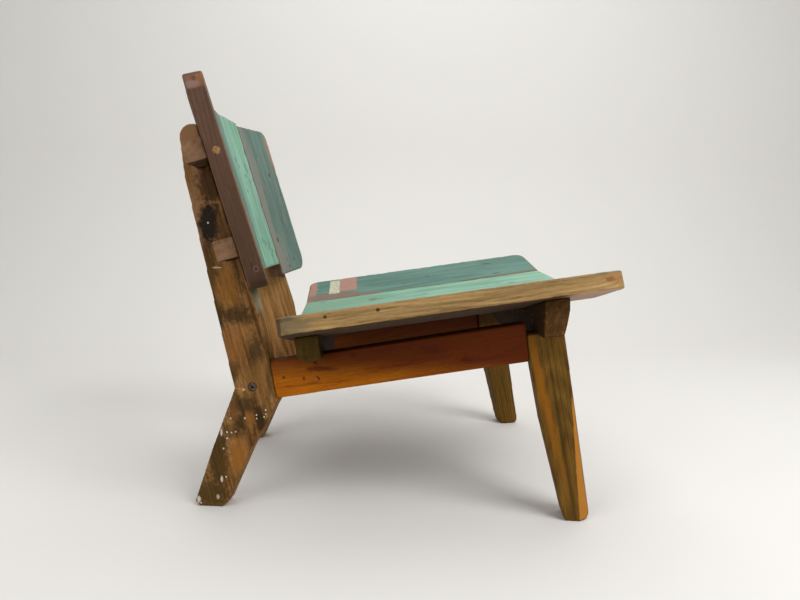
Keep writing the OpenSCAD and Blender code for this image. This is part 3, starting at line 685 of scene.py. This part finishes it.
# %% Make the planks
GAP = 0.0005  # half of the open seam between planks
STEP = 0.0065  # the near outer back plank stands higher by this, the far one lower
SHORTER = 0.024  # an inner back plank ends this much above an outer one
SEAT_OVER = {"right": (0.0075, 0.0050), "left": (0.0050, 0.0105)}  # the ends run on, front and rear
SQUARE, SEAT_CORNERS, BACK_CORNERS = (0.0, 0.0), (0.025, 0.025), (0.022, 0.032)
BACK_UNDER = (112, 82, 56)


def plank(node, slot, panel, outer, side, seed, length, top, corners, **looks):
    """Builds and paints one plank in its own coordinates and carries it to its place. Top is how
    far it runs past 0, and corners are the radii at the front or top end and at the other."""
    matrix = board_frame(panel, outer, side)
    full = panel["outer"] if outer else inner_width(panel)
    width = full - (GAP if outer else 2 * GAP)
    finish = plank_finish(node + "_finish", matrix, length - top, full, seed, top, **looks)
    piece = made_by(BOARD, "worn_" + node, {
        "Length": length, "Width": width, "Thickness": panel["thick"], "Front corner": corners[0],
        "Rear corner": corners[1], "Seed": float(seed), "Finish": finish})
    centre = Matrix.Translation((top - length / 2, GAP + width / 2, -panel["thick"] / 2))
    set_in_place(piece, matrix @ centre)
    hand_over(piece, node)


def seat_plank(side, part, slot, seed, **looks):
    front, rear = SEAT_OVER[side]
    length, outer = SEAT["length"] + front + rear, part == "outer"
    plank(f"seat_plank_{side}_{part}", slot, SEAT, outer, side, seed, length, front,
          SEAT_CORNERS if outer else SQUARE, **looks)


def back_plank(side, part, slot, seed, **looks):
    outer = part == "outer"
    top = -SIDES[side] * STEP if outer else 0.0
    length = BACK["length"] + top if outer else BACK["length"] - SHORTER
    plank(f"back_plank_{side}_{part}", slot, BACK, outer, side, seed, length, top,
          BACK_CORNERS if outer else SQUARE, under=BACK_UNDER, crown=0.6, **looks)


seat_plank("left", "inner", "mint_paint", 1, paint=MINT, marks=SEAT_MINT_MARKS, nicks=0.6,
           grey=0.5, rubbed=(150, 176, 156))
back_plank("left", "inner", "mint_paint", 2, paint=MINT, marks=BACK_MINT_MARKS, nicks=0.58,
           grey=0.6, rubbed=(126, 156, 146))
seat_plank("right", "inner", "mint_paint", 3, paint=MINT, grey=0.25)
seat_plank("left", "outer", "teal_paint", 4, paint=TEAL, marks=SEAT_FAR_MARKS, nicks=0.55,
           grey=0.4, rubbed=(96, 120, 110))
back_plank("left", "outer", "teal_paint", 5, paint=FADED, marks=BACK_FAR_MARKS, nicks=0.44,
           grey=0.35, edge=BROWN_EDGE)
back_plank("right", "inner", "teal_paint", 6, paint=TEAL, marks=BACK_NEAR_MARKS, grey=0.5)
seat_plank("right", "outer", "tan_wood", 7, paint=TEAL, edge_marks=SEAT_EDGE_MARKS, grey=0.3, worn=0.014)
back_plank("right", "outer", "brown_stain", 8, paint=BROWN, edge_marks=BACK_EDGE_MARKS, grey=0.3, edge=STAIN)

# %% [markdown]
# ## The frame's timbers, worn by a second tree
# Legs, aprons and beams have notches and mortises, so they start as copies of the
# construction's solids, which a Remesh modifier cuts into small, even cells. The tree blurs the
# skin a little, which rounds every arris, and moves it by noise along the grain. A blurred
# point lies far from the sharp one only at an edge, and there the tree takes small bites out.

# %% The timber tree
def timber_tree():
    b, given = new_tree("worn timber", "Timber", ("Wear", "Seed"), "Worn")
    seed = given["Seed"]
    place = b.signal("GeometryNodeInputPosition")
    blurred = b.node("GeometryNodeBlurAttribute", {"data_type": "FLOAT_VECTOR"}, {"Iterations": 2})
    b.feed([s for s in blurred.inputs if s.type == "VECTOR"][0], place)
    soft = Signal(b, [s for s in blurred.outputs if s.type == "VECTOR"][0])
    edge = b.smooth(b.vector_math("DISTANCE", place, soft, output="Value"), 0.00008, 0.0004)
    ridges = b.noise(place, 12, 150, seed, 3) - 0.5
    waves = b.noise(place, 3, 12, seed) - 0.5
    bites = b.smooth(b.noise(place, 55, 110, seed, 3), 0.56, 0.80) * edge
    push = (ridges * 0.0004 + waves * 0.0004 - bites * 0.0009) * given["Wear"]
    moved = b.vector_math("ADD", soft, along_normal(b, push))
    worn_by(b, given["Timber"], {"Position": moved}, given["Finish"])
    return b.tree


TIMBER = timber_tree()
print("timber tree with", len(TIMBER.nodes), "nodes")


# %% A worn copy of one solid
TIMBER_CELL = 0.0022  # size of the remeshed cells


def merged_copy(node):
    """A construction solid is loose triangles, so its copy's doubles are merged first."""
    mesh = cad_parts[node].data.copy()
    bm = bmesh.new()
    bm.from_mesh(mesh)
    bmesh.ops.remove_doubles(bm, verts=bm.verts, dist=1e-5)
    bm.to_mesh(mesh)
    bm.free()
    return mesh


def hang_lower(mesh, drop):
    """Moves the lower half of a timber down, so that its lower arris hangs below the drawn one."""
    middle = sum((v.co.z for v in mesh.vertices), 0.0) / len(mesh.vertices)
    for vertex in mesh.vertices:
        if vertex.co.z < middle:
            vertex.co.z -= drop


def timber(node, grain, finish, seed, wear=1.0, drop=0.0):
    """Wears a copy of a solid in coordinates whose X runs along its grain."""
    mesh = merged_copy(node)
    mesh.transform(grain.inverted())
    hang_lower(mesh, drop)
    if grain.determinant() < 0:
        mesh.flip_normals()
    carrier = new_object("carrier", mesh)
    remesh = carrier.modifiers.new("cells", "REMESH")
    remesh.mode = "VOXEL"
    remesh.voxel_size = TIMBER_CELL
    even = plain(carrier, "even_" + node)
    base = even.data
    bpy.data.objects.remove(even)
    piece = made_by(TIMBER, "worn_" + node, {"Wear": wear, "Seed": float(seed), "Finish": finish}, base)
    set_in_place(piece, grain)
    for vertex in piece.data.vertices:
        vertex.co.z = max(vertex.co.z, 0.0)  # no foot sinks into the floor
    hand_over(piece, node)


print("a timber's cells are", TIMBER_CELL * 1000, "mm wide")

# %% [markdown]
# ## Finishes of the timbers
# The rear legs are tan with black weathering and a big knot, the front legs have dark olive
# stripes, and the aprons are a redder wood, deep orange behind and nearly black-red in front,
# which is partly painted shade. Each finish is bare wood plus weathering plus a list of marks
# where the real ones are, and a few masks and marks of painted light and shade.

# %% Timber finish
def timber_finish(name, grain, place, tones, seed, dress, marks=(), grain_marks=(), weather=None,
                  dull=0.72, **figure):
    """Bare wood with weathered patches; weather is colour, share, and two noise limits. Marks
    lie in the side frame's coordinates, grain marks in the grain's, and dress adds the rest."""
    material, b = new_finish(name)
    at, spot_at = coordinates(b, grain), coordinates(b, place)
    colour, height, tone = bare_wood(b, at, *tones, seed, **figure)
    if weather:
        tint, share, low, high = weather
        patch = b.smooth(b.noise(at, 9, 26, seed + 12, 5, 0.72), low, high)
        pepper = b.smooth(b.noise(at, 150, 420, seed + 14, 4, 0.7), 0.55, 0.64)
        _, out, _ = b.xyz(spot_at)
        outside = b.smooth(out, -0.006, -0.003)
        colour = b.mix((patch * share).math("MAXIMUM", pepper * 0.5) * outside, colour, tint)
    colour = marked(b, at, colour, grain_marks, wobble(b, at, seed, 60))
    colour = marked(b, spot_at, colour, marks, wobble(b, spot_at, seed + 20, 150, 1.6))
    colour = dress(b, colour, at, spot_at)
    surface(b, colour, (tone - 0.5) * 0.15 + dull, height, sheen=0.12)
    return material


print("a timber's finish is defined")

# %% Marks on the legs and the aprons
BLACK, OLIVE, GOLD = (44, 32, 10), (78, 60, 22), (142, 92, 34)
WHITE, SOOT = (222, 214, 196), (32, 28, 20)


def specks(points):
    return on_side([(x, z, 1.2, 1.32, WHITE, 1.0, 0.35) for x, z in points])


REAR_LEG_MARKS = on_side([
    (-302, 620, 30, 34, (152, 114, 80), 0.85, 0.4),
    (-296, 500, 9, 110, (150, 112, 80), 0.6, 0.6),
    (-280, 330, 9, 60, (66, 46, 20), 0.5, 0.6),
    # painted shadow: the dark patch below the upper back beam's end stands for the beam's shadow on the leg
    (-272, 548, 24, 32, (60, 38, 16), 0.85, 0.45),
    (-279, 517, 22, 3, (140, 106, 76), 0.5, 0.4),
    (-277, 484, 17, 33, SOOT, 0.97, 0.3),
    (-250, 470, 16, 34, (84, 60, 36), 0.6, 0.4),
    (-286, 440, 12, 12, (74, 50, 30), 0.5, 0.5),
    (-282, 380, 11, 44, OLIVE, 0.75, 0.5),
    (-268, 335, 9, 26, BLACK, 0.6, 0.5),
    (-250, 378, 17, 32, GOLD, 0.65, 0.5),
    (-236, 332, 32, 15, BLACK, 0.8, 0.6),
    (-246, 275, 20, 30, (140, 92, 46), 0.6, 0.5),
    (-205, 276, 13, 28, BLACK, 0.75, 0.6),
    (-246, 238, 11, 16, BLACK, 0.6, 0.5),
    (-199, 230, 13, 24, (132, 94, 42), 0.6, 0.5),
    (-184, 225, 5, 34, OLIVE, 0.6, 0.4),
    (-228, 180, 20, 16, BLACK, 0.75, 0.6),
    (-234, 152, 11, 12, BLACK, 0.75, 0.5),
    (-200, 158, 10, 24, BLACK, 0.75, 0.5),
    (-250, 134, 26, 12, BLACK, 0.6, 0.6),
    (-220, 157, 8, 12, GOLD, 0.7, 0.5),
    (-245, 166, 7, 12, (120, 78, 40), 0.6, 0.5),
    (-240, 92, 15, 30, GOLD, 0.85, 0.4),
    (-276, 78, 17, 50, (64, 46, 14), 0.85, 0.5),
    (-292, 22, 30, 26, (70, 52, 18), 0.85, 0.5),
    (-228, 207, 2.6, 2, (214, 170, 120), 0.9, 0.4),
    (-237, 209, 6, 0.8, (190, 150, 110), 0.7, 0.4),
    (-267, 411, 7, 1.2, (200, 184, 160), 0.8, 0.4),
    (-279, 484, 1.5, 1.5, WHITE, 1.0, 0.3),
    (-269, 133, 1.8, 7, WHITE, 0.8, 0.4),
    (-271, 50, 2.0, 6, WHITE, 0.75, 0.4),
    (-279, 18, 2.6, 4, (190, 180, 160), 0.8, 0.4),
    (-313, 12, 3.4, 6, WHITE, 0.8, 0.5),
]) + specks([(-252, 157), (-227, 158), (-207, 164), (-207, 158), (-191, 173), (-191, 166), (-194, 161),
            (-259, 133), (-251, 132), (-244, 134), (-259, 122), (-266, 104), (-263, 54), (-309, 6)])

FRONT_LEG_STRIPES = on_side([
    (90, -9, 70, 5, (146, 88, 10), 0.65, 0.6),
    (15, -15, 70, 5, (146, 88, 10), 0.65, 0.6),
    (-60, -21, 60, 3, (140, 88, 16), 0.6, 0.6),
    (-20, -30, 150, 1.6, (60, 42, 8), 0.6, 0.5),
    (60, -38, 110, 1.4, (60, 42, 8), 0.5, 0.5),
    (-60, -27, 110, 1.4, (60, 42, 8), 0.55, 0.5),
    (-100, -36, 60, 2, (128, 88, 30), 0.5, 0.5),
], deep=30)
APRON_MARKS = on_side([
    (-96, 245, 24, 4, (84, 34, 8), 0.75, 0.5),
    (-106, 255, 4, 2.4, (30, 14, 6), 0.95, 0.3),
    (-159, 229, 3, 2.4, (84, 30, 8), 0.85, 0.4),
    (-125, 228, 2.4, 3, (84, 30, 8), 0.8, 0.4),
    (-102, 229, 4, 3.4, (60, 28, 12), 0.85, 0.4),
    (-104, 228, 1.6, 1.4, (200, 150, 110), 0.8, 0.4),
    (-44, 269, 6, 4, (96, 40, 8), 0.6, 0.5),
    (88, 280, 20, 7, (74, 26, 4), 0.6, 0.6),
    (141, 265, 9, 4, (60, 20, 2), 0.8, 0.5),
    (-162, 250, 24, 9, (186, 112, 40), 0.6, 0.2),
])
print("marks:", len(REAR_LEG_MARKS), "on a rear leg,", len(APRON_MARKS), "on an apron")

# %% [markdown]
# ## Legs and aprons
# Each side frame has a bent rear leg, a front leg with a facet, and an apron between them. The
# two sides differ by the seed of their noise. What only one kind of piece has is added last, as
# masks by place: strokes of the saw, a painted highlight on the facet, painted shade on the far
# front leg's top, and an apron's deeper red at its front end, which is partly painted shade.

# %% Rear legs
SAW_STEP = 0.0042  # from one stroke of the saw to the next
INNER_FACE = (-0.012, -0.02)  # across a leg, where the looks of its inner face begin


def rear_leg(side):
    place, grain = side_frame(side), along_leg(side, **REAR_LEG)

    def sawn(b, colour, at, place_at):
        """Fine marks of the saw across the inner face, and a grey strip on the front edge."""
        along, _, _ = b.xyz(at)
        _, y, z = b.xyz(place_at)
        stroke = ((along + b.noise(at, 30, 60, 5) * 0.004) * (2 * math.pi / SAW_STEP)).math("SINE")
        inner = b.smooth(y, *INNER_FACE)
        colour = b.mix(b.smooth(stroke, 0.2, 0.9) * inner * 0.35, colour, (176, 134, 78))
        strip = facing(b, place, (1, 0, 0)) * b.smooth(z, 0.33, 0.35) * b.smooth(z, 0.47, 0.45)
        return b.mix(strip * 0.55, colour, (136, 136, 116))

    tones = ((86, 56, 22), (132, 92, 48), (160, 118, 74))
    finish = timber_finish(side + "_rear_leg_finish", grain, place, tones, 20 + SIDES[side], sawn,
                           REAR_LEG_MARKS, weather=((52, 38, 14), 0.75, 0.53, 0.66),
                           ring=0.006, heart=(-0.07, 0.02), lean=0.04)
    timber(side + "_rear_leg", grain, finish, 30 + SIDES[side])


print("strokes of the saw lie", SAW_STEP * 1000, "mm apart")

# %% Front legs
FACET = Vector((0.53, 0.85, 0))  # the way it looks, in the side frame


def front_leg(side):
    place, grain = side_frame(side), along_leg(side, **FRONT_LEG)

    def leg_painted_light(b, colour, at, place_at):
        """A painted highlight on the sawn facet below the beam, and on the far leg painted shade on the top
        of its inner face.
        """
        _, y, z = b.xyz(place_at)
        if side == "left":
            # painted shade on the far leg's inner face, above the apron
            shade = b.smooth(z, 0.236, 0.256) * b.smooth(y, *INNER_FACE)
            colour = b.mix(shade * 0.8, colour, (50, 24, 4))
        lower = b.smooth(z, 0.225, 0.185)
        # painted highlight: the facet is coloured lighter where it faces the light
        return b.mix(facing(b, place, FACET, 0.94, 0.975) * lower, colour, (176, 116, 44))

    tones = ((70, 48, 10), (98, 70, 22), (122, 88, 32))
    finish = timber_finish(side + "_front_leg_finish", grain, place, tones, 40 + SIDES[side],
                           leg_painted_light, grain_marks=FRONT_LEG_STRIPES, contrast=0.9,
                           ring=0.005, heart=(-0.05, -0.03), lean=0.08, clouds=0.4, thread=(3, 300))
    timber(side + "_front_leg", grain, finish, 50 + SIDES[side])


print("the facet looks", round(math.degrees(math.atan2(FACET.y, FACET.x))), "degrees outwards")

# %% Aprons
def apron_tone_and_painted_shade(b, colour, at, place_at):
    """The apron deepens to a red brown towards the front and its top, which is partly its own colour and
    partly painted shade from the seat, and its inner face is painted dark as shade.
    """
    x, y, z = b.xyz(place_at)
    along = (x + 0.18) / 0.40
    up = (z - RAIL_HEIGHT - x * math.tan(math.radians(RAIL_SLOPE))) / 0.03
    # partly the wood's own colour and partly painted shade from the seat, darker to the front and the top
    colour = b.mix(b.smooth(along + up * 0.45, 0.25, 1.15) * 0.92, colour, (74, 22, 0))
    # painted shade on the inner face
    return b.mix(b.smooth(y, -0.012, -0.016) * 0.85, colour, (66, 24, 6))


def apron(side, drop):
    grain, seed = along_apron(side), SIDES[side]
    tones = ((132, 66, 0), (174, 98, 2), (192, 120, 22))
    finish = timber_finish(side + "_apron_finish", grain, side_frame(side), tones, 60 + seed, apron_tone_and_painted_shade,
                           APRON_MARKS, ring=0.009, heart=(-0.09, 0.04), lean=0.03, contrast=0.8)
    timber(side + "_apron", grain, finish, 70 + seed, wear=0.7, drop=drop)


print("an apron rises by", RAIL_SLOPE, "degrees to the front")

# %% Build both side frames
APRON_DROP = {"right": 0.0, "left": 0.006}  # the photograph shows the left apron hanging lower

for side in SIDES:
    rear_leg(side)
    front_leg(side)
    apron(side, APRON_DROP[side])

# %% [markdown]
# ## Beams
# Two beams carry the seat and two the back. The seat's are dark and grimy, with paler gouges in
# the front one, and the back's are tan. One face of each is darkened as painted shade: on the
# seat's beams the face that looks into the space under the seat, on the back's the underside.

# %% Beams
FRONT_BEAM = ((54, 34, 10), (82, 54, 24), (118, 84, 44))
REAR_BEAM = ((52, 38, 10), (72, 54, 18), (104, 80, 26))
TAN_BEAM = ((104, 76, 54), (140, 106, 80), (156, 122, 94))
BEAM_DROP = 0.004  # the photograph shows the front beam this much deeper
FORWARD, BACKWARD = (1, 0, 0), (-1, 0, 0)


def beam(node, panel, tones, seed, shaded_side, gouges=0.0, drop=0.0):
    """A beam lies across the chair, so its grain runs along Y."""
    grain = panel["place"] @ turn(90, "Z")

    def grime(b, colour, at, place_at):
        # painted shade on the face that looks into the shade under the seat or down below the beam
        colour = b.mix(facing(b, panel["place"], shaded_side) * 0.85, colour, (44, 24, 6))
        scratch = b.smooth(b.noise(at, 60, 140, seed + 16, 4, 0.7), 0.60, 0.66)
        cloud = b.smooth(b.noise(at, 30, 40, seed + 17, 3, 0.6), 0.45, 0.60)
        colour = b.mix(cloud * 0.35, colour, tones[0])
        return b.mix(scratch * gouges, colour, tones[2])

    finish = timber_finish(node + "_finish", grain, panel["place"], tones, seed, grime,
                           ring=0.012, contrast=0.55, dull=0.9)
    timber(node, grain, finish, seed + 5, drop=drop)


beam("front_seat_beam", SEAT, FRONT_BEAM, 80, BACKWARD, gouges=0.7, drop=BEAM_DROP)
beam("rear_seat_beam", SEAT, REAR_BEAM, 81, FORWARD)
beam("upper_back_beam", BACK, TAN_BEAM, 82, BACKWARD)
beam("lower_back_beam", BACK, TAN_BEAM, 83, BACKWARD)

# %% [markdown]
# ## Screws, nails and plugs
# Wood screws hold the planks from below and behind, two old nails show in each seat edge, and a
# round plug sits in each back edge. They repeat, so one Geometry Nodes tree makes them all: a
# head with its recess cut by a boolean, a shank and a tip, copied to points that carry the
# direction to look in.

# %% The fastener tree
PIN_SIZES = ("Head radius", "Head height", "Shank radius", "Shank length", "Point length", "Recess")
ROUND = 24  # corners of a round section


def rod(b, radius, depth, height, top=None):
    """A round bar that stands at a height, or a cone when it has a top radius."""
    if top is None:
        made = b.signal("GeometryNodeMeshCylinder", values={
            "Vertices": ROUND, "Radius": radius, "Depth": depth})
        height = height + depth * 0.5
    else:
        made = b.signal("GeometryNodeMeshCone", values={
            "Vertices": ROUND, "Radius Bottom": radius, "Radius Top": top, "Depth": depth})
    lift = b.vector(0.0, 0.0, height)
    return b.signal("GeometryNodeTransform", values={"Geometry": made, "Translation": lift})


def fastener_tree():
    b, size = new_tree("fastener", "Points", PIN_SIZES, "Fasteners")
    head, head_h, shank, shank_l, point_l, recess = (size[name] for name in PIN_SIZES)
    rim, arm = head_h * 0.25, recess * 0.22
    cross = [b.signal("GeometryNodeMeshCube", values={"Size": b.vector(x, y, recess * 0.7)})
             for x, y in ((recess, arm), (arm, recess))]
    parts = []
    for solid in (rod(b, head, head_h - rim, rim), rod(b, head * 0.86, rim, 0.0, head)):
        cut = b.node("GeometryNodeMeshBoolean", {"operation": "DIFFERENCE"}, {"Mesh 1": solid})
        for bar in cross:
            b.feed(cut.inputs["Mesh 2"], bar)
        parts.append(Signal(b, cut.outputs[0]))
    parts += [rod(b, shank, shank_l, head_h), rod(b, shank, point_l, head_h + shank_l, shank * 0.15)]
    join = b.node("GeometryNodeJoinGeometry")
    for part in parts:
        b.feed(join.inputs[0], part)
    way = b.signal("GeometryNodeInputNamedAttribute", {"data_type": "FLOAT_VECTOR"}, {"Name": "way"})
    aim = b.signal("FunctionNodeAlignEulerToVector", {"axis": "Z"}, {"Vector": way})
    many = b.signal("GeometryNodeInstanceOnPoints", values={
        "Points": size["Points"], "Instance": Signal(b, join.outputs[0]), "Rotation": aim})
    finished(b, many, size["Finish"])
    return b.tree


FASTENER = fastener_tree()
print("fastener tree with", len(FASTENER.nodes), "nodes")


# %% [markdown]
# ## Metal and plug finishes
# The zinc of the screws and bolts is dull and speckled with rust; the nails are rusted right
# through. The plugs are end grain of a paler wood, so they look mottled, not striped.

# %% Metal, rust and pale wood
def metal_finish(name, base, rust, share):
    material, b = new_finish(name)
    at = b.signal("ShaderNodeTexCoord", output="Object")
    grime = b.noise(at, 420, 420, 3, 4, 0.65)
    rusty = b.smooth(grime, 0.62 - share * 0.3, 0.75 - share * 0.3)
    b.principled({"Base Color": b.mix(rusty, base, rust), "Metallic": 0.9 - rusty * 0.8,
                  "Roughness": rusty * 0.4 + 0.4, "Normal": bump(b, grime, 0.5, 0.0002)})
    return material


def pale_finish(name, dark, middle, light, seed):
    material, b = new_finish(name)
    at = b.signal("ShaderNodeTexCoord", output="Object")
    mottle = b.noise(at, 260, 260, seed, 4, 0.7)
    fine = b.noise(at, 900, 900, seed + 1, 3, 0.6)
    colour = b.mix(b.smooth(mottle, 0.38, 0.52), dark, middle)
    colour = b.mix(b.smooth(mottle * 0.6 + fine * 0.4, 0.5, 0.62), colour, light)
    surface(b, colour, 0.6 + fine * 0.1, mottle, 0.0004)
    return material


STEEL = metal_finish("dull_zinc", (104, 100, 96), (66, 44, 30), 0.55)
RUST = metal_finish("rusted_iron", (84, 52, 44), (62, 34, 26), 1.0)
PALE = pale_finish("plug_wood", (84, 54, 26), (132, 94, 50), (176, 138, 84), 90)
print("finishes:", STEEL.name, RUST.name, PALE.name)

# %% Place the fasteners
def fasteners(node, spots, finish, sizes):
    """Spots are pairs of a place and the direction from the head to the point; the sizes are
    in the order of PIN_SIZES."""
    base = bpy.data.meshes.new(node + "_points")
    base.from_pydata([tuple(place) for place, _ in spots], [], [])
    ways = base.attributes.new("way", "FLOAT_VECTOR", "POINT")
    for item, (_, way) in zip(ways.data, spots):
        item.vector = way
    piece = made_by(FASTENER, "made_" + node, dict(zip(PIN_SIZES, sizes), Finish=finish), base)
    hand_over(piece, node)


def on_board(panel, outer, side, point, way):
    matrix = board_frame(panel, outer, side)
    return matrix @ Vector(point), (matrix.to_3x3() @ Vector(way)).normalized()


SCREW_SIZES = (0.0043, 0.0026, 0.00225, 0.037, 0.003, 0.004)
NAIL_SIZES = (0.0022, 0.0012, 0.0017, 0.034, 0.004, 0.0)
PLUG_SIZES = (0.0070, 0.0115, 0.0069, 0.0003, 0.0002, 0.0)
SCREW_REACH = 0.020 - 0.040 - 0.0026  # what bites into the plank, less the shank and the head
UPWARD, INWARD = (0, 0, 1), (0, -1, 0)


def screw_rows(panel, rows):
    """A row is its place along the planks and the screws' places across inner and outer ones."""
    spots = []
    for side in SIDES:
        for x, inner, outer in rows:
            for is_outer, places in ((False, inner), (True, outer)):
                for y in places:
                    point = (x, y, SCREW_REACH - panel["thick"])
                    spots.append(on_board(panel, is_outer, side, point, UPWARD))
    return spots


seat_rows = [(-0.098, (0.030, 0.130), (0.020, 0.084)), (-0.480, (0.030, 0.130), (0.010, 0.067))]
back_rows = [(-0.103, (0.024, 0.086), (0.012, 0.112)), (-0.259, (0.024, 0.086), (0.012, 0.112))]
fasteners("seat_screws", screw_rows(SEAT, seat_rows), STEEL, SCREW_SIZES)
fasteners("back_screws", screw_rows(BACK, back_rows), STEEL, SCREW_SIZES)
NAIL_ROWS = (0.071, 0.149)  # from the plank's rear end
NAIL_OUT, NAIL_DEEP = 0.1522, -0.009  # out to the edge, and below the face
nails = [on_board(SEAT, True, side, (x - SEAT["length"], NAIL_OUT, NAIL_DEEP), INWARD)
         for side in SIDES for x in NAIL_ROWS]
fasteners("seat_edge_nails", nails, RUST, NAIL_SIZES)
PLUG_SPOT = (-0.1155, 0.1473, -0.01475)  # on the outer edge, halfway through the plank
plugs = [on_board(BACK, True, side, PLUG_SPOT, INWARD) for side in SIDES]
fasteners("back_edge_plugs", plugs, PALE, PLUG_SIZES)

# %% [markdown]
# ## Pieces that stay as they are
# Dowels and pegs are hidden in their bores, and the bolts lie deep in the legs. They could be
# worn like the timbers, but that would hardly show, so they keep the construction's own meshes
# and only get a finish.

# %% Finishes of the kept pieces
KEPT = {"steel": (STEEL, "knee_bolts", "knee_washers"),
        "pale wood": (PALE, "seat_dowels", "back_dowels", "front_beam_pegs", "rear_beam_pegs",
                      "back_beam_pegs")}
for kind, (finish, *nodes) in KEPT.items():
    for node in nodes:
        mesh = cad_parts[node].data
        mesh.materials.clear()
        mesh.materials.append(finish)
    print(len(nodes), "kept pieces in", kind)

# %% [markdown]
# ## Studio
# A pale floor that sweeps up into the backdrop keeps the outline clear, and its matt surface
# takes the chair's soft shadow. The photograph's light comes from the right front and from
# above, so the key lamp stands there; a broad fill and a top lamp keep the shadows open.

# %% Floor, lamps and world
SWEEP = 0.9  # radius of the bend between the floor and the backdrop
SWEEP_START = 1.1  # where the floor begins to rise, behind the chair
HALF_FLOOR, NEAR_END, BACKDROP_HEIGHT = 8, -6.0, 6.0


def add_floor():
    mesh = bpy.data.meshes.new("floor")
    floor = new_object("floor", mesh)
    bend = [math.radians(a) for a in range(0, 91, 6)]
    curve = [(SWEEP_START + SWEEP * math.sin(a), SWEEP - SWEEP * math.cos(a)) for a in bend]
    rows = [(NEAR_END, 0.0)] + curve + [(SWEEP_START + SWEEP, BACKDROP_HEIGHT)]
    verts = [(x, y, z) for y, z in rows for x in (-HALF_FLOOR, HALF_FLOOR)]
    faces = [(2 * i, 2 * i + 1, 2 * i + 3, 2 * i + 2) for i in range(len(rows) - 1)]
    mesh.from_pydata(verts, [], faces)
    for polygon in mesh.polygons:
        polygon.use_smooth = True
    material, b = new_finish("backdrop")
    b.principled({"Base Color": (228, 226, 222), "Roughness": 0.9})
    mesh.materials.append(material)


def add_lamp(name, place, aim_height, size, power):
    """A square lamp, in metres and watts, that looks at a height above the chair's middle."""
    data = bpy.data.lights.new(name, "AREA")
    data.size = size
    data.energy = power
    lamp = new_object(name, data)
    lamp.location = place
    lamp.rotation_euler = (Vector((0, 0, aim_height)) - Vector(place)).to_track_quat("-Z", "Y").to_euler()


add_floor()
add_lamp("key", (1.6, -1.6, 2.4), 0.35, 1.6, 60)
add_lamp("fill", (-2.0, -1.8, 1.6), 0.35, 2.0, 22)
add_lamp("top", (0.2, 0.6, 2.8), 0.4, 2.5, 30)
world = bpy.data.worlds.new("world")
bpy.context.scene.world = world
world.use_nodes = True
sky = world.node_tree.nodes["Background"].inputs
sky["Color"].default_value = (1, 1, 1, 1)
sky["Strength"].default_value = 0.35
bpy.context.scene.view_settings.view_transform = "Standard"
print("lamps:", [light.name for light in bpy.data.lights])
